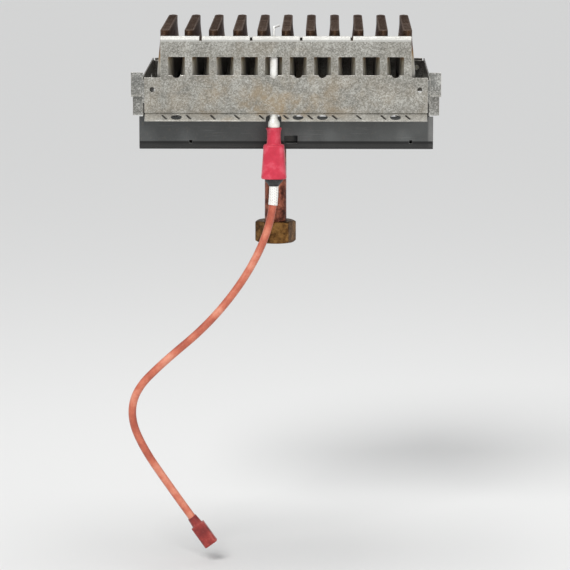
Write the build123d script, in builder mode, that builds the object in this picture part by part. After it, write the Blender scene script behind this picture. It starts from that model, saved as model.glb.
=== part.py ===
from build123d import *
import os
from math import cos, pi, radians, sin, tan

# Eleven-blade atmospheric gas burner for a wall-hung boiler, in millimetres.
# X runs along the front, +Y runs back along the blades and +Z is up.
# The origin is midway between the two fixing holes, on the front face of the front panel.

# ---- driving dimensions ----
PITCH = 20.0                 # blade to blade
BLADES = 11
SHEET = 1.0                  # panels, plates and rails
FOIL = 0.7                   # wall of a blade
FIXING_SPACING = 220.0
FIXING_R = 2.1

PANEL_BOTTOM = -19.0
PANEL_STEP = 10.0            # height where the panel narrows
PANEL_TOP = 44.0
LOWER_HALF = 116.5
UPPER_HALF = 103.0
TOP_BEND_R = 3.7
WINDOW_W = 14.0
WINDOW_BOTTOM = 12.0
WINDOW_TOP = 27.0
NOTCH_R = 3.4

LEDGE_ANGLE = 25.0           # below the horizontal
LEDGE_LENGTH = 12.0
LEDGE_HOLE_R = 4.5

BLADE_FRONT = 9.5
BLADE_REAR = 186.5
BLADE_TOP = 48.0
SEAM = 1.6                   # two sheets crimped together

APRON_FRONT = 16.0
APRON_HALF = 121.5
APRON_TOP = -23.6
APRON_BOTTOM = -51.0

SIDE_INNER = 117.5
REAR_FACE = 188.0

VENTURI_Z = -37.0
MOUTH_Y = 54.0

TUBE_FRONT = 22.0            # square gas tube
TUBE_SIDE = 20.0
TUBE_WALL = 1.5
TUBE_HALF = 112.0

PIPE_X = -9.0
PIPE_R = 9.0
NUT_TOP = -112.0
NUT_HEIGHT = 18.0
NUT_FLATS = 30.0
NUT_TURN = -22.0             # where its flats happen to stand
NUT_THREAD_R = 12.06         # minor radius of a G3/4 thread
NUT_THREAD = 8.0

ELECTRODE_X = -10.0
ELECTRODE_Y = 5.7
CERAMIC_R = 3.2
LEAD_R = 3.25

# ---- worked out from them ----
PITCH_HALF = PITCH / 2
BLADE_X = [(i - (BLADES - 1) / 2) * PITCH for i in range(BLADES)]
WINDOW_X = [x + PITCH_HALF for x in BLADE_X[:-1]]
HOLE_X = [WINDOW_X[0], WINDOW_X[5], WINDOW_X[6], WINDOW_X[9]]
NOTCH_X = HOLE_X + [ELECTRODE_X]
TUBE_REAR = TUBE_FRONT + TUBE_SIDE
TUBE_Y = TUBE_FRONT + TUBE_SIDE / 2
TUBE_TOP = VENTURI_Z + TUBE_SIDE / 2
TUBE_BOTTOM = VENTURI_Z - TUBE_SIDE / 2

os.makedirs("parts", exist_ok=True)


def face_at(y):
    """A plane that faces forward at depth y, with X to the right and Z up."""
    return Plane.XZ.offset(-y)


def floor_at(z, x=0.0, y=0.0):
    return Plane((x, y, z))


def save(part, name):
    part.label = name
    export_step(part, f"parts/{name}.step")


# ---- front panel: one sheet, stepped at the sides and rolled back at its top ----
BEND_START = PANEL_TOP - TOP_BEND_R
SLIT_X = [-70.0, -28.5, 12.5, 54.0]
SLIT_W = 2.0
CORNER_R = 8.0
STEP_R = 5.0


def stepped_outline(y, top):
    """A panel's face: its wide part up to the step, then its narrow part up to top."""
    with BuildSketch(face_at(y)) as outline:
        with BuildLine():
            Polyline(
                (-LOWER_HALF, PANEL_BOTTOM),
                (LOWER_HALF, PANEL_BOTTOM),
                (LOWER_HALF, PANEL_STEP),
                (UPPER_HALF, PANEL_STEP),
                (UPPER_HALF, top),
                (-UPPER_HALF, top),
                (-UPPER_HALF, PANEL_STEP),
                (-LOWER_HALF, PANEL_STEP),
                close=True,
            )
        make_face()
        for outside, radius in ((True, CORNER_R), (False, STEP_R)):
            shoulders = outline.vertices().filter_by_position(Axis.Z, PANEL_STEP - 0.1, PANEL_STEP + 0.1)
            fillet([v for v in shoulders if (abs(v.X) > UPPER_HALF + 1) == outside], radius=radius)
    return outline.sketch


with BuildPart() as front_panel:
    extrude(stepped_outline(0, BEND_START), amount=-SHEET)
    with BuildSketch(Plane.YZ):
        with BuildLine():
            Line((0, BEND_START - SHEET), (0, BEND_START))
            CenterArc((TOP_BEND_R, BEND_START), TOP_BEND_R, 90, 90)
            offset(amount=SHEET, side=Side.RIGHT)
        make_face()
    extrude(amount=UPPER_HALF, both=True)
    with BuildSketch(face_at(0)):
        with Locations(*[(x, (WINDOW_TOP + WINDOW_BOTTOM) / 2) for x in WINDOW_X]):
            RectangleRounded(WINDOW_W, WINDOW_TOP - WINDOW_BOTTOM, 0.8)
        with Locations(*[(x, WINDOW_BOTTOM + 1) for x in NOTCH_X]):
            Circle(NOTCH_R)
        with Locations((-FIXING_SPACING / 2, 0), (FIXING_SPACING / 2, 0)):
            Circle(FIXING_R)
    extrude(amount=-SHEET, mode=Mode.SUBTRACT)
    with BuildSketch(face_at(-1)):
        with Locations(*[(x, PANEL_TOP) for x in SLIT_X]):
            Rectangle(SLIT_W, 2 * TOP_BEND_R)
    extrude(amount=-(TOP_BEND_R + 3), mode=Mode.SUBTRACT)
save(front_panel.part, "front_panel")


# ---- front rail: a flange behind the panel and a ledge that slopes forward under it ----
RAIL_TOP = -12.0
RAIL_BEND_Z = -20.2
RAIL_BACK = 2 * SHEET
LEDGE_RUN = LEDGE_LENGTH * cos(radians(LEDGE_ANGLE))
LEDGE_DROP = LEDGE_LENGTH * sin(radians(LEDGE_ANGLE))
LEDGE_HALF = LOWER_HALF - 0.5
HOLE_ALONG = 6.3             # from the bend down the slope

ledge_frame = Plane(
    origin=(0, RAIL_BACK - HOLE_ALONG * cos(radians(LEDGE_ANGLE)),
            RAIL_BEND_Z - HOLE_ALONG * sin(radians(LEDGE_ANGLE))),
    x_dir=(1, 0, 0),
    z_dir=(0, -sin(radians(LEDGE_ANGLE)), cos(radians(LEDGE_ANGLE))),
)
TAB_TURN = -58.0             # a locking tab's twist across the ledge
TAB_SLOT = (8.4, 1.9)
TAB_BLADE = (6.6, 0.8)
TAB_FRONT = -5.5
TAB_ABOVE = 1.6
TAB_BELOW = 2.5

with BuildPart() as front_rail:
    with BuildSketch(Plane.YZ):
        with BuildLine():
            FilletPolyline(
                (RAIL_BACK, RAIL_TOP),
                (RAIL_BACK, RAIL_BEND_Z),
                (RAIL_BACK - LEDGE_RUN, RAIL_BEND_Z - LEDGE_DROP),
                radius=1.6,
            )
            offset(amount=SHEET, side=Side.RIGHT)
        make_face()
    extrude(amount=LEDGE_HALF, both=True)
    with BuildSketch(ledge_frame):
        with Locations(*[(x, 0) for x in HOLE_X]):
            Circle(LEDGE_HOLE_R)
        with Locations((ELECTRODE_X, -4)):
            SlotOverall(20, 13, rotation=90)
        with Locations(*[(x, 0) for x in BLADE_X]):
            SlotOverall(*TAB_SLOT, rotation=TAB_TURN)
    extrude(amount=3, both=True, mode=Mode.SUBTRACT)
save(front_rail.part, "front_rail")


# ---- a blade: one sheet folded over its ported top and crimped along its other edges ----
HEAD_HALF = 6.6
HEAD_TOP_HALF = 3.8
RISER_FRONT = 150.0
WEB_BOTTOM = -23.0           # clear of the gas tube
PORTS = 44
PORT_SIZE = (6.2, 1.3)
PORT_PITCH = 3.8
REAR_TAB_Z = 22.0
venturi_axis = Axis((0, 0, VENTURI_Z), (0, 1, 0))


def head_points(inset):
    """Half of the head's cross-section, from its seam up to its ported top."""
    return [
        (0.0, -7.0 + 2 * inset),
        (HEAD_HALF - inset, 3.0 + inset),
        (HEAD_HALF - inset, 11.0),
        (5.2 - inset, 27.0),
        (HEAD_TOP_HALF - inset, 40.0),
        (HEAD_TOP_HALF - inset, BLADE_TOP - inset),
        (0.0, BLADE_TOP - inset),
    ]


def venturi_points(inset):
    """Radius along the mixing tube, from its flared mouth to the riser."""
    return [
        (MOUTH_Y, 8.8 - inset),
        (MOUTH_Y + 5, 6.9 - inset),
        (MOUTH_Y + 20, 5.4 - inset),
        (MOUTH_Y + 36, 5.4 - inset),
        (RISER_FRONT, HEAD_HALF + 0.6 - inset),
        (RISER_FRONT + 14, HEAD_HALF - inset),
    ]


def head_section(inset):
    points = head_points(inset)
    with BuildSketch(face_at(BLADE_FRONT + inset)) as section:
        with BuildLine():
            Polyline(*points, points[0])
        make_face()
        mirror(about=Plane.YZ)
    return section.sketch


def venturi_section(inset):
    points = [(y, VENTURI_Z + r) for y, r in venturi_points(inset)]
    with BuildSketch(Plane.YZ) as section:
        with BuildLine():
            Polyline(*points, (points[-1][0], VENTURI_Z), (points[0][0], VENTURI_Z), close=True)
        make_face()
    return section.sketch


def riser_section(inset):
    """Side view of the rear chamber that carries the mixture up into the head."""
    low = VENTURI_Z - 8.5 + inset
    with BuildSketch(Plane.YZ) as section:
        with BuildLine():
            Polyline(
                (RISER_FRONT + inset, 8.0),
                (RISER_FRONT + inset, low),
                (BLADE_REAR - 18, low),
                (BLADE_REAR - inset, low + 18),
                (BLADE_REAR - inset, 8.0),
                close=True,
            )
        make_face()
    return section.sketch


with BuildPart() as blade_form:
    with BuildSketch(Plane.YZ):
        with BuildLine():
            Polyline(
                (BLADE_FRONT, 20.0),
                (BLADE_FRONT, -27.5),
                (APRON_FRONT - 2, -27.5),
                (APRON_FRONT - 2, WEB_BOTTOM),
                (MOUTH_Y, WEB_BOTTOM),
                (MOUTH_Y, VENTURI_Z - 11),
                (BLADE_REAR - 17, VENTURI_Z - 11),
                (BLADE_REAR, VENTURI_Z + 8),
                (BLADE_REAR, 20.0),
                close=True,
            )
        make_face()
    extrude(amount=SEAM / 2, both=True)
    for inset, mode in ((0, Mode.ADD), (FOIL, Mode.SUBTRACT)):
        length = BLADE_REAR - BLADE_FRONT - 2 * inset
        extrude(head_section(inset), amount=-length, mode=mode)
        revolve(venturi_section(inset), axis=venturi_axis, mode=mode)
        extrude(riser_section(inset), amount=HEAD_HALF - inset, both=True, mode=mode)
    with BuildSketch(floor_at(BLADE_TOP, y=(BLADE_FRONT + BLADE_REAR) / 2)):
        with GridLocations(0, PORT_PITCH, 1, PORTS):
            Rectangle(*PORT_SIZE)
    extrude(amount=-2 * FOIL, mode=Mode.SUBTRACT)
    # the front tab runs under the ledge and is twisted where it comes up through it
    with Locations((0, (BLADE_FRONT + 0.5 + TAB_FRONT) / 2, -26.0)):
        Box(TAB_BLADE[1], BLADE_FRONT + 0.5 - TAB_FRONT, 3.0)
    for rise in (TAB_ABOVE, -TAB_BELOW):
        with BuildSketch(ledge_frame):
            Rectangle(*TAB_BLADE, rotation=TAB_TURN)
        extrude(amount=rise)
    # the rear tab passes through the rear panel
    with Locations((0, BLADE_REAR + 2, REAR_TAB_Z)):
        Box(SEAM, 5.5, 5.0)

for number, x in enumerate(BLADE_X, start=1):
    with BuildPart() as blade:
        with Locations((x, 0, 0)):
            add(blade_form.part)
    save(blade.part, f"burner_blade_{number:02d}")


# ---- rear panel: holds the blades' rear tabs ----
REAR_TOP = 28.0
REAR_FIXING_X = 90.0
REAR_FIXING_Z = -11.0
REAR_SCREWS = [(side * 111.5, z) for side in (-1, 1) for z in (-12.0, 2.0)]
SCREW_R = 1.9

with BuildPart() as rear_panel:
    extrude(stepped_outline(REAR_FACE, REAR_TOP), amount=-SHEET)
    with BuildSketch(face_at(REAR_FACE)):
        with Locations(*[(x, REAR_TAB_Z) for x in BLADE_X]):
            Rectangle(SEAM + 0.8, 6.0)
        with Locations((-REAR_FIXING_X, REAR_FIXING_Z), (REAR_FIXING_X, REAR_FIXING_Z)):
            Circle(FIXING_R)
        with Locations(*REAR_SCREWS):
            Circle(SCREW_R + 0.1)
    extrude(amount=-SHEET, mode=Mode.SUBTRACT)
    with BuildSketch(Plane.YZ):
        with Locations((REAR_FACE + 4, PANEL_BOTTOM + SHEET / 2)):
            Rectangle(8, SHEET)
    extrude(amount=105, both=True)
save(rear_panel.part, "rear_panel")


# ---- side plates, with a flange inward at each end and a bracket outward at the front ----
PLATE_TOP = 10.0
PLATE_BOTTOM = -49.0
BRACKET_HALF = 127.5
FOOT_HALF = 126.0
LIP_Z = -5.0
AIR_HOLES = [(70.0, -5.0), (110.0, -5.0), (150.0, -5.0)]
MANIFOLD_SCREWS = [(TUBE_FRONT + 5, -32.0), (TUBE_REAR - 5, -42.0)]


def side_plate(side):
    """side is -1 for the left plate and +1 for the right one."""
    def place(lo, hi):
        return side * (lo + hi) / 2

    with BuildPart() as plate:
        with BuildSketch(Plane.YZ.offset(side * SIDE_INNER)):
            with BuildLine():
                Polyline(
                    (SHEET, PLATE_TOP),
                    (SHEET, -18.0),
                    (APRON_FRONT + 2.5, -24.0),
                    (APRON_FRONT + 2.5, PLATE_BOTTOM),
                    (BLADE_REAR - 30, PLATE_BOTTOM),
                    (REAR_FACE, -25.0),
                    (REAR_FACE, PLATE_TOP),
                    close=True,
                )
            make_face()
            with Locations(*MANIFOLD_SCREWS):
                Circle(SCREW_R + 0.2, mode=Mode.SUBTRACT)
            with Locations(*AIR_HOLES):
                SlotOverall(24, 9, mode=Mode.SUBTRACT)
        extrude(amount=side * SHEET)
        # inward flanges, behind the front panel and before the rear one
        for y, low in ((SHEET, -11.0), (REAR_FACE - SHEET, -17.0)):
            with Locations((place(SIDE_INNER - 11.5, SIDE_INNER + SHEET), y + SHEET / 2, (low + 8) / 2)):
                Box(11.5 + SHEET, SHEET, 8 - low)
        # outward bracket: face, lip and foot
        with Locations((place(SIDE_INNER, BRACKET_HALF), SHEET * 2.5, (LIP_Z + 14) / 2)):
            Box(BRACKET_HALF - SIDE_INNER, SHEET, 14 - LIP_Z)
        with Locations((place(SIDE_INNER + 1.2, BRACKET_HALF), 0.5, LIP_Z)):
            Box(BRACKET_HALF - SIDE_INNER - 1.2, 5.0, SHEET)
        with Locations((place(SIDE_INNER, FOOT_HALF), SHEET * 2.5, -13.0)):
            Box(FOOT_HALF - SIDE_INNER, SHEET, 16.5)
        with BuildSketch(face_at(0)):
            with Locations((side * FIXING_SPACING / 2, 0)):
                Circle(FIXING_R)
        extrude(amount=-3, mode=Mode.SUBTRACT)
        with BuildSketch(face_at(REAR_FACE - 3)):
            with Locations(*[(x, z) for x, z in REAR_SCREWS if x * side > 0]):
                Circle(SCREW_R + 0.1)
        extrude(amount=-4, mode=Mode.SUBTRACT)
    return plate.part


save(side_plate(-1), "side_plate_left")
save(side_plate(1), "side_plate_right")


# ---- lower apron: a dark sheet in front of the gas tube, rolled under at its bottom ----
APRON_ROLL = 4.0
APRON_SLOT = (11.0, 6.5)
APRON_SLOT_AT = (3.8, -42.8)
APRON_NICKS = [-79.0, 103.0]

with BuildPart() as lower_apron:
    with BuildSketch(Plane.YZ):
        with BuildLine():
            FilletPolyline(
                (APRON_FRONT, APRON_TOP),
                (APRON_FRONT, APRON_BOTTOM),
                (APRON_FRONT + 5.5, APRON_BOTTOM),
                radius=APRON_ROLL,
            )
            offset(amount=SHEET, side=Side.LEFT)
        make_face()
    extrude(amount=APRON_HALF, both=True)
    with BuildSketch(face_at(APRON_FRONT - 1)):
        with Locations(APRON_SLOT_AT):
            RectangleRounded(*APRON_SLOT, 0.8)
        with Locations(*[(x, APRON_BOTTOM + 6.5) for x in APRON_NICKS]):
            Rectangle(2.4, 2.4)
    extrude(amount=-3, mode=Mode.SUBTRACT)
save(lower_apron.part, "lower_apron")


# ---- gas tube, its end caps and brackets ----
INJECTOR_HOLE_R = 2.95

with BuildPart() as gas_manifold:
    with BuildSketch(Plane.YZ):
        with Locations((TUBE_Y, VENTURI_Z)):
            RectangleRounded(TUBE_SIDE, TUBE_SIDE, 2.5)
            RectangleRounded(TUBE_SIDE - 2 * TUBE_WALL, TUBE_SIDE - 2 * TUBE_WALL, 1, mode=Mode.SUBTRACT)
    extrude(amount=TUBE_HALF, both=True)
    with BuildSketch(face_at(TUBE_REAR)):
        with Locations(*[(x, VENTURI_Z) for x in BLADE_X]):
            Circle(INJECTOR_HOLE_R)
    extrude(amount=2 * TUBE_WALL, mode=Mode.SUBTRACT)
    with BuildSketch(floor_at(TUBE_BOTTOM, x=PIPE_X, y=TUBE_Y)):
        Circle(PIPE_R)
    extrude(amount=2 * TUBE_WALL, mode=Mode.SUBTRACT)
save(gas_manifold.part, "gas_manifold")


def end_cap(side):
    with BuildPart() as cap:
        with BuildSketch(Plane.YZ.offset(side * TUBE_HALF)):
            with Locations((TUBE_Y, VENTURI_Z)):
                RectangleRounded(TUBE_SIDE, TUBE_SIDE, 2.5)
        extrude(amount=side * TUBE_WALL)
        fillet(cap.faces().sort_by(Axis.X)[-1 if side > 0 else 0].edges(), radius=0.6)
    return cap.part


def tube_bracket(side):
    """An angle welded under the gas tube and screwed to the side plate."""
    with BuildPart() as bracket:
        with Locations((side * (SIDE_INNER - SHEET / 2), TUBE_Y, (TUBE_BOTTOM - SHEET + TUBE_TOP) / 2)):
            Box(SHEET, TUBE_SIDE, TUBE_SIDE + SHEET)
        with Locations((side * (SIDE_INNER - 12), TUBE_Y, TUBE_BOTTOM - SHEET / 2)):
            Box(24, TUBE_SIDE, SHEET)
        with BuildSketch(Plane.YZ.offset(side * (SIDE_INNER - 3))):
            with Locations(*MANIFOLD_SCREWS):
                Circle(SCREW_R + 0.1)
        extrude(amount=side * 4, mode=Mode.SUBTRACT)
    return bracket.part


for side, name in ((-1, "left"), (1, "right")):
    save(end_cap(side), f"manifold_end_cap_{name}")
    save(tube_bracket(side), f"manifold_bracket_{name}")


# ---- injectors: brass jets screwed into the gas tube, one for each blade ----
WASHER = 0.6
HEX_LENGTH = 4.5
NOSE_LENGTH = 4.0

with BuildPart() as injector_form:
    with BuildSketch(face_at(TUBE_REAR - 3.5)):
        Circle(INJECTOR_HOLE_R - 0.1)
    extrude(amount=-(3.5 + WASHER))
    with BuildSketch(face_at(TUBE_REAR + WASHER)):
        RegularPolygon(4.0, 6, major_radius=False)
    extrude(amount=-HEX_LENGTH)
    with BuildSketch(face_at(TUBE_REAR + WASHER + HEX_LENGTH)):
        Circle(2.7)
    extrude(amount=-NOSE_LENGTH, taper=8)
    with BuildSketch(face_at(TUBE_REAR - 3.5)):
        Circle(1.8)
    extrude(amount=-9, mode=Mode.SUBTRACT)
    with BuildSketch(face_at(TUBE_REAR)):
        Circle(0.65)
    extrude(amount=-20, mode=Mode.SUBTRACT)

for number, x in enumerate(BLADE_X, start=1):
    with BuildPart() as injector:
        with Locations((x, 0, VENTURI_Z)):
            add(injector_form.part)
    save(injector.part, f"injector_{number:02d}")

with BuildPart() as injector_washers:
    with BuildSketch(face_at(TUBE_REAR)):
        with Locations(*[(x, VENTURI_Z) for x in BLADE_X]):
            Circle(4.8)
            Circle(INJECTOR_HOLE_R + 0.05, mode=Mode.SUBTRACT)
    extrude(amount=-WASHER)
save(injector_washers.part, "injector_washers")


# ---- gas inlet: pipe, brazed collar, gasket and captive union nut ----
COLLAR_R = 11.6
COLLAR_H = 4.0
SHOULDER = 3.5
RUN_GAP = 0.3
pipe_axis = Axis((PIPE_X, TUBE_Y, 0), (0, 0, 1))
COLLAR_TOP = NUT_TOP - SHOULDER - RUN_GAP
COLLAR_BOTTOM = COLLAR_TOP - COLLAR_H

with BuildPart() as gas_inlet_pipe:
    with BuildSketch(floor_at(COLLAR_BOTTOM, x=PIPE_X, y=TUBE_Y)):
        Circle(PIPE_R)
        Circle(PIPE_R - 1, mode=Mode.SUBTRACT)
    extrude(amount=TUBE_BOTTOM + TUBE_WALL - COLLAR_BOTTOM)
save(gas_inlet_pipe.part, "gas_inlet_pipe")

with BuildPart() as pipe_collar:
    with BuildSketch(floor_at(COLLAR_BOTTOM, x=PIPE_X, y=TUBE_Y)):
        Circle(COLLAR_R)
        Circle(PIPE_R, mode=Mode.SUBTRACT)
    extrude(amount=COLLAR_H)
save(pipe_collar.part, "pipe_collar")

with BuildPart() as union_gasket:
    with BuildSketch(floor_at(COLLAR_BOTTOM, x=PIPE_X, y=TUBE_Y)):
        Circle(COLLAR_R)
        Circle(PIPE_R - 1, mode=Mode.SUBTRACT)
    extrude(amount=-1.5)
save(union_gasket.part, "union_gasket")

with BuildPart() as union_nut:
    with BuildSketch(floor_at(NUT_TOP - NUT_HEIGHT, x=PIPE_X, y=TUBE_Y)):
        RegularPolygon(NUT_FLATS / 2, 6, major_radius=False, rotation=NUT_TURN)
    extrude(amount=NUT_HEIGHT)
    # turned ends: the hexagon's corners are taken off by a cone
    with BuildSketch(Plane.XZ.offset(-TUBE_Y), mode=Mode.PRIVATE) as barrel:
        with BuildLine():
            Polyline(
                (PIPE_X, NUT_TOP - NUT_HEIGHT),
                (PIPE_X + NUT_FLATS / 2, NUT_TOP - NUT_HEIGHT),
                (PIPE_X + NUT_FLATS / 2 + 3, NUT_TOP - NUT_HEIGHT + 1.8),
                (PIPE_X + NUT_FLATS / 2 + 3, NUT_TOP - 1.8),
                (PIPE_X + NUT_FLATS / 2, NUT_TOP),
                (PIPE_X, NUT_TOP),
                close=True,
            )
        make_face()
    revolve(barrel.sketch, axis=pipe_axis, mode=Mode.INTERSECT)
    with BuildSketch(floor_at(NUT_TOP, x=PIPE_X, y=TUBE_Y)):
        Circle(PIPE_R + RUN_GAP)
    extrude(amount=-NUT_HEIGHT, mode=Mode.SUBTRACT)
    with BuildSketch(floor_at(NUT_TOP - NUT_HEIGHT, x=PIPE_X, y=TUBE_Y)):
        Circle(NUT_THREAD_R)
    extrude(amount=NUT_THREAD, mode=Mode.SUBTRACT)
    # the relief above the thread holds the collar and the gasket
    with BuildSketch(floor_at(NUT_TOP - SHOULDER, x=PIPE_X, y=TUBE_Y)):
        Circle(NUT_THREAD_R + 0.6)
    extrude(amount=-(NUT_HEIGHT - SHOULDER - NUT_THREAD), mode=Mode.SUBTRACT)
save(union_nut.part, "union_nut")


# ---- screws ----
def pan_screw(shank_r, length):
    """A pan-head screw with a cross recess, its head above the XY plane and its shank below."""
    with BuildPart() as screw:
        with BuildSketch(Plane.XY):
            Circle(shank_r)
        extrude(amount=-length)
        with BuildSketch(Plane.XY):
            Circle(2 * shank_r)
        extrude(amount=1.3 * shank_r)
        fillet(screw.faces().sort_by(Axis.Z)[-1].edges(), radius=0.9 * shank_r)
        with BuildSketch(Plane.XY.offset(1.3 * shank_r)):
            Rectangle(1.9 * shank_r, 0.45 * shank_r)
            Rectangle(0.45 * shank_r, 1.9 * shank_r)
        extrude(amount=-0.8 * shank_r, mode=Mode.SUBTRACT)
    return screw.part


screw_form = pan_screw(SCREW_R, 5)

with BuildPart() as rear_panel_screws:
    for x, z in REAR_SCREWS:
        with Locations(Plane(origin=(x, REAR_FACE + SHEET, z), x_dir=(1, 0, 0), z_dir=(0, 1, 0)).location):
            add(screw_form)
save(rear_panel_screws.part, "rear_panel_screws")

with BuildPart() as manifold_screws:
    for side in (-1, 1):
        for y, z in MANIFOLD_SCREWS:
            head_seat = Plane(
                origin=(side * (SIDE_INNER + SHEET), y, z), x_dir=(0, 1, 0), z_dir=(side, 0, 0)
            )
            with Locations(head_seat.location):
                add(screw_form)
save(manifold_screws.part, "manifold_screws")


# ---- ignition electrode: bracket, crimped flange, screw, ceramic, pin and terminal ----
BRACKET_Z = -18.0
ELECTRODE_SCREW_X = ELECTRODE_X + 9
electrode_axis = Axis((ELECTRODE_X, ELECTRODE_Y, 0), (0, 0, 1))

with BuildPart() as electrode_bracket:
    with BuildSketch(floor_at(BRACKET_Z, x=ELECTRODE_X + 3, y=ELECTRODE_Y)):
        Rectangle(21, 7.2)
        with Locations((-3, 0)):
            Circle(CERAMIC_R + 0.2, mode=Mode.SUBTRACT)
            Rectangle(2 * CERAMIC_R + 0.4, 8, align=(Align.CENTER, Align.MAX), mode=Mode.SUBTRACT)
        with Locations((ELECTRODE_SCREW_X - ELECTRODE_X - 3, 0)):
            Circle(1.6, mode=Mode.SUBTRACT)
    extrude(amount=SHEET)
    with Locations((ELECTRODE_X + 3 + 7.5, RAIL_BACK + 0.5, BRACKET_Z + 4)):
        Box(6, 1.0, 8)
save(electrode_bracket.part, "electrode_bracket")

with BuildPart() as electrode_flange:
    with BuildSketch(floor_at(BRACKET_Z, x=ELECTRODE_X + 4.5, y=ELECTRODE_Y)):
        SlotOverall(18, 7)
        with Locations((-4.5, 0)):
            Circle(CERAMIC_R + 0.05, mode=Mode.SUBTRACT)
        with Locations((ELECTRODE_SCREW_X - ELECTRODE_X - 4.5, 0)):
            Circle(1.6, mode=Mode.SUBTRACT)
    extrude(amount=-0.8)
save(electrode_flange.part, "electrode_flange")

with BuildPart() as electrode_screw:
    under = Plane(
        origin=(ELECTRODE_SCREW_X, ELECTRODE_Y, BRACKET_Z - 0.8), x_dir=(1, 0, 0), z_dir=(0, 0, -1)
    )
    with Locations(under.location):
        add(pan_screw(1.5, 5))
save(electrode_screw.part, "electrode_screw")

CERAMIC_TOP = 26.5
CERAMIC_BOTTOM = -38.0
PIN_R = 1.0

with BuildPart() as electrode_ceramic:
    with BuildSketch(Plane.XZ.offset(-ELECTRODE_Y)):
        with BuildLine():
            Polyline(
                (ELECTRODE_X + PIN_R, CERAMIC_BOTTOM),
                (ELECTRODE_X + 3.4, CERAMIC_BOTTOM),
                (ELECTRODE_X + 3.4, -31.5),
                (ELECTRODE_X + 4.9, -31.5),
                (ELECTRODE_X + 4.9, -28.5),
                (ELECTRODE_X + CERAMIC_R, -24.5),
                (ELECTRODE_X + CERAMIC_R, CERAMIC_TOP - 2),
                (ELECTRODE_X + CERAMIC_R - 1.2, CERAMIC_TOP),
                (ELECTRODE_X + PIN_R, CERAMIC_TOP),
                close=True,
            )
        make_face()
    revolve(axis=electrode_axis)
save(electrode_ceramic.part, "electrode_ceramic")

with BuildPart() as electrode_pin:
    with BuildLine() as pin_line:
        FilletPolyline(
            (ELECTRODE_X, ELECTRODE_Y, -46.0),
            (ELECTRODE_X, ELECTRODE_Y, 49.5),
            (ELECTRODE_X + 4.2, ELECTRODE_Y + 7.0, 52.0),
            radius=2.4,
        )
    with BuildSketch(floor_at(-46.0, x=ELECTRODE_X, y=ELECTRODE_Y)):
        Circle(PIN_R)
    sweep()
save(electrode_pin.part, "electrode_pin")

with BuildPart() as electrode_terminal:
    with BuildSketch(floor_at(-50.0, x=ELECTRODE_X, y=ELECTRODE_Y)):
        Circle(2.0)
    extrude(amount=11.5)
    with BuildSketch(floor_at(-46.0, x=ELECTRODE_X, y=ELECTRODE_Y)):
        Circle(PIN_R)
    extrude(amount=7.5, mode=Mode.SUBTRACT)
    fillet(electrode_terminal.faces().sort_by(Axis.Z)[0].edges(), radius=0.8)
save(electrode_terminal.part, "electrode_terminal")


# ---- silicone boot over the terminal, and the grommet where the lead comes out of it ----
BOOT_TOP = -31.5
BOOT_SHOULDER = -45.5
BOOT_BOTTOM = -74.0
GROMMET_TOP = -64.0
LEAD_TOP = -80.0

with BuildPart() as electrode_boot:
    with BuildSketch(floor_at(BOOT_BOTTOM, x=ELECTRODE_X, y=ELECTRODE_Y)):
        RectangleRounded(21.0, 17.0, 6.0)
    with BuildSketch(floor_at(BOOT_SHOULDER - 2.0, x=ELECTRODE_X, y=ELECTRODE_Y)):
        RectangleRounded(17.4, 15.0, 5.5)
    loft()
    with BuildSketch(floor_at(BOOT_SHOULDER - 2.0, x=ELECTRODE_X, y=ELECTRODE_Y)):
        RectangleRounded(17.4, 15.0, 5.5)
    with BuildSketch(floor_at(BOOT_SHOULDER, x=ELECTRODE_X, y=ELECTRODE_Y)):
        RectangleRounded(14.6, 13.0, 4.8)
    loft()
    with BuildSketch(floor_at(BOOT_SHOULDER, x=ELECTRODE_X, y=ELECTRODE_Y)):
        Circle(5.7)
    extrude(amount=BOOT_TOP - BOOT_SHOULDER)
    with BuildSketch(floor_at(BOOT_TOP - 2.4, x=ELECTRODE_X, y=ELECTRODE_Y)):
        Circle(6.3)
    extrude(amount=2.4)
    # the bore fits the ceramic, the terminal and the grommet in turn
    with BuildSketch(floor_at(BOOT_TOP, x=ELECTRODE_X, y=ELECTRODE_Y)):
        Circle(3.45)
    extrude(amount=-20, mode=Mode.SUBTRACT)
    with BuildSketch(floor_at(BOOT_BOTTOM, x=ELECTRODE_X, y=ELECTRODE_Y)):
        Circle(6.6)
    extrude(amount=GROMMET_TOP - BOOT_BOTTOM + 13, mode=Mode.SUBTRACT)
save(electrode_boot.part, "electrode_boot")

with BuildPart() as boot_grommet:
    with BuildSketch(Plane.XZ.offset(-ELECTRODE_Y)):
        with BuildLine():
            Polyline(
                (ELECTRODE_X, GROMMET_TOP),
                (ELECTRODE_X + 6.55, GROMMET_TOP),
                (ELECTRODE_X + 6.55, BOOT_BOTTOM),
                (ELECTRODE_X + 7.8, BOOT_BOTTOM),
                (ELECTRODE_X + 7.4, BOOT_BOTTOM - 2.5),
                (ELECTRODE_X + 4.6, LEAD_TOP),
                (ELECTRODE_X, LEAD_TOP),
                close=True,
            )
        make_face()
    revolve(axis=electrode_axis)
save(boot_grommet.part, "boot_grommet")


# ---- ignition lead: its route from the grommet to the plug at its far end ----
LEAD_ROUTE = [
    (-10, 5.7, -80),
    (-10, 5.7, -98),
    (-19, 0.5, -129),
    (-38, -8, -162),
    (-66, -14, -195),
    (-101, -17, -224),
    (-124, -18, -247),
    (-128.5, -17, -271),
    (-118, -15, -297),
    (-98, -14, -327),
    (-78, -15, -355),
]
SLEEVE_R = 3.9
SLEEVE_LENGTH = 16.0


def route_radii(points):
    """0.45 of the shorter run at each corner, divided by the tangent of half its turn."""
    spots = [Vector(*p) for p in points]
    radii = []
    for before, here, after in zip(spots, spots[1:], spots[2:]):
        turn = (here - before).get_angle(after - here)
        shorter = min((here - before).length, (after - here).length)
        radii.append(0.45 * shorter / tan(radians(turn / 2)))
    return radii


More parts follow.
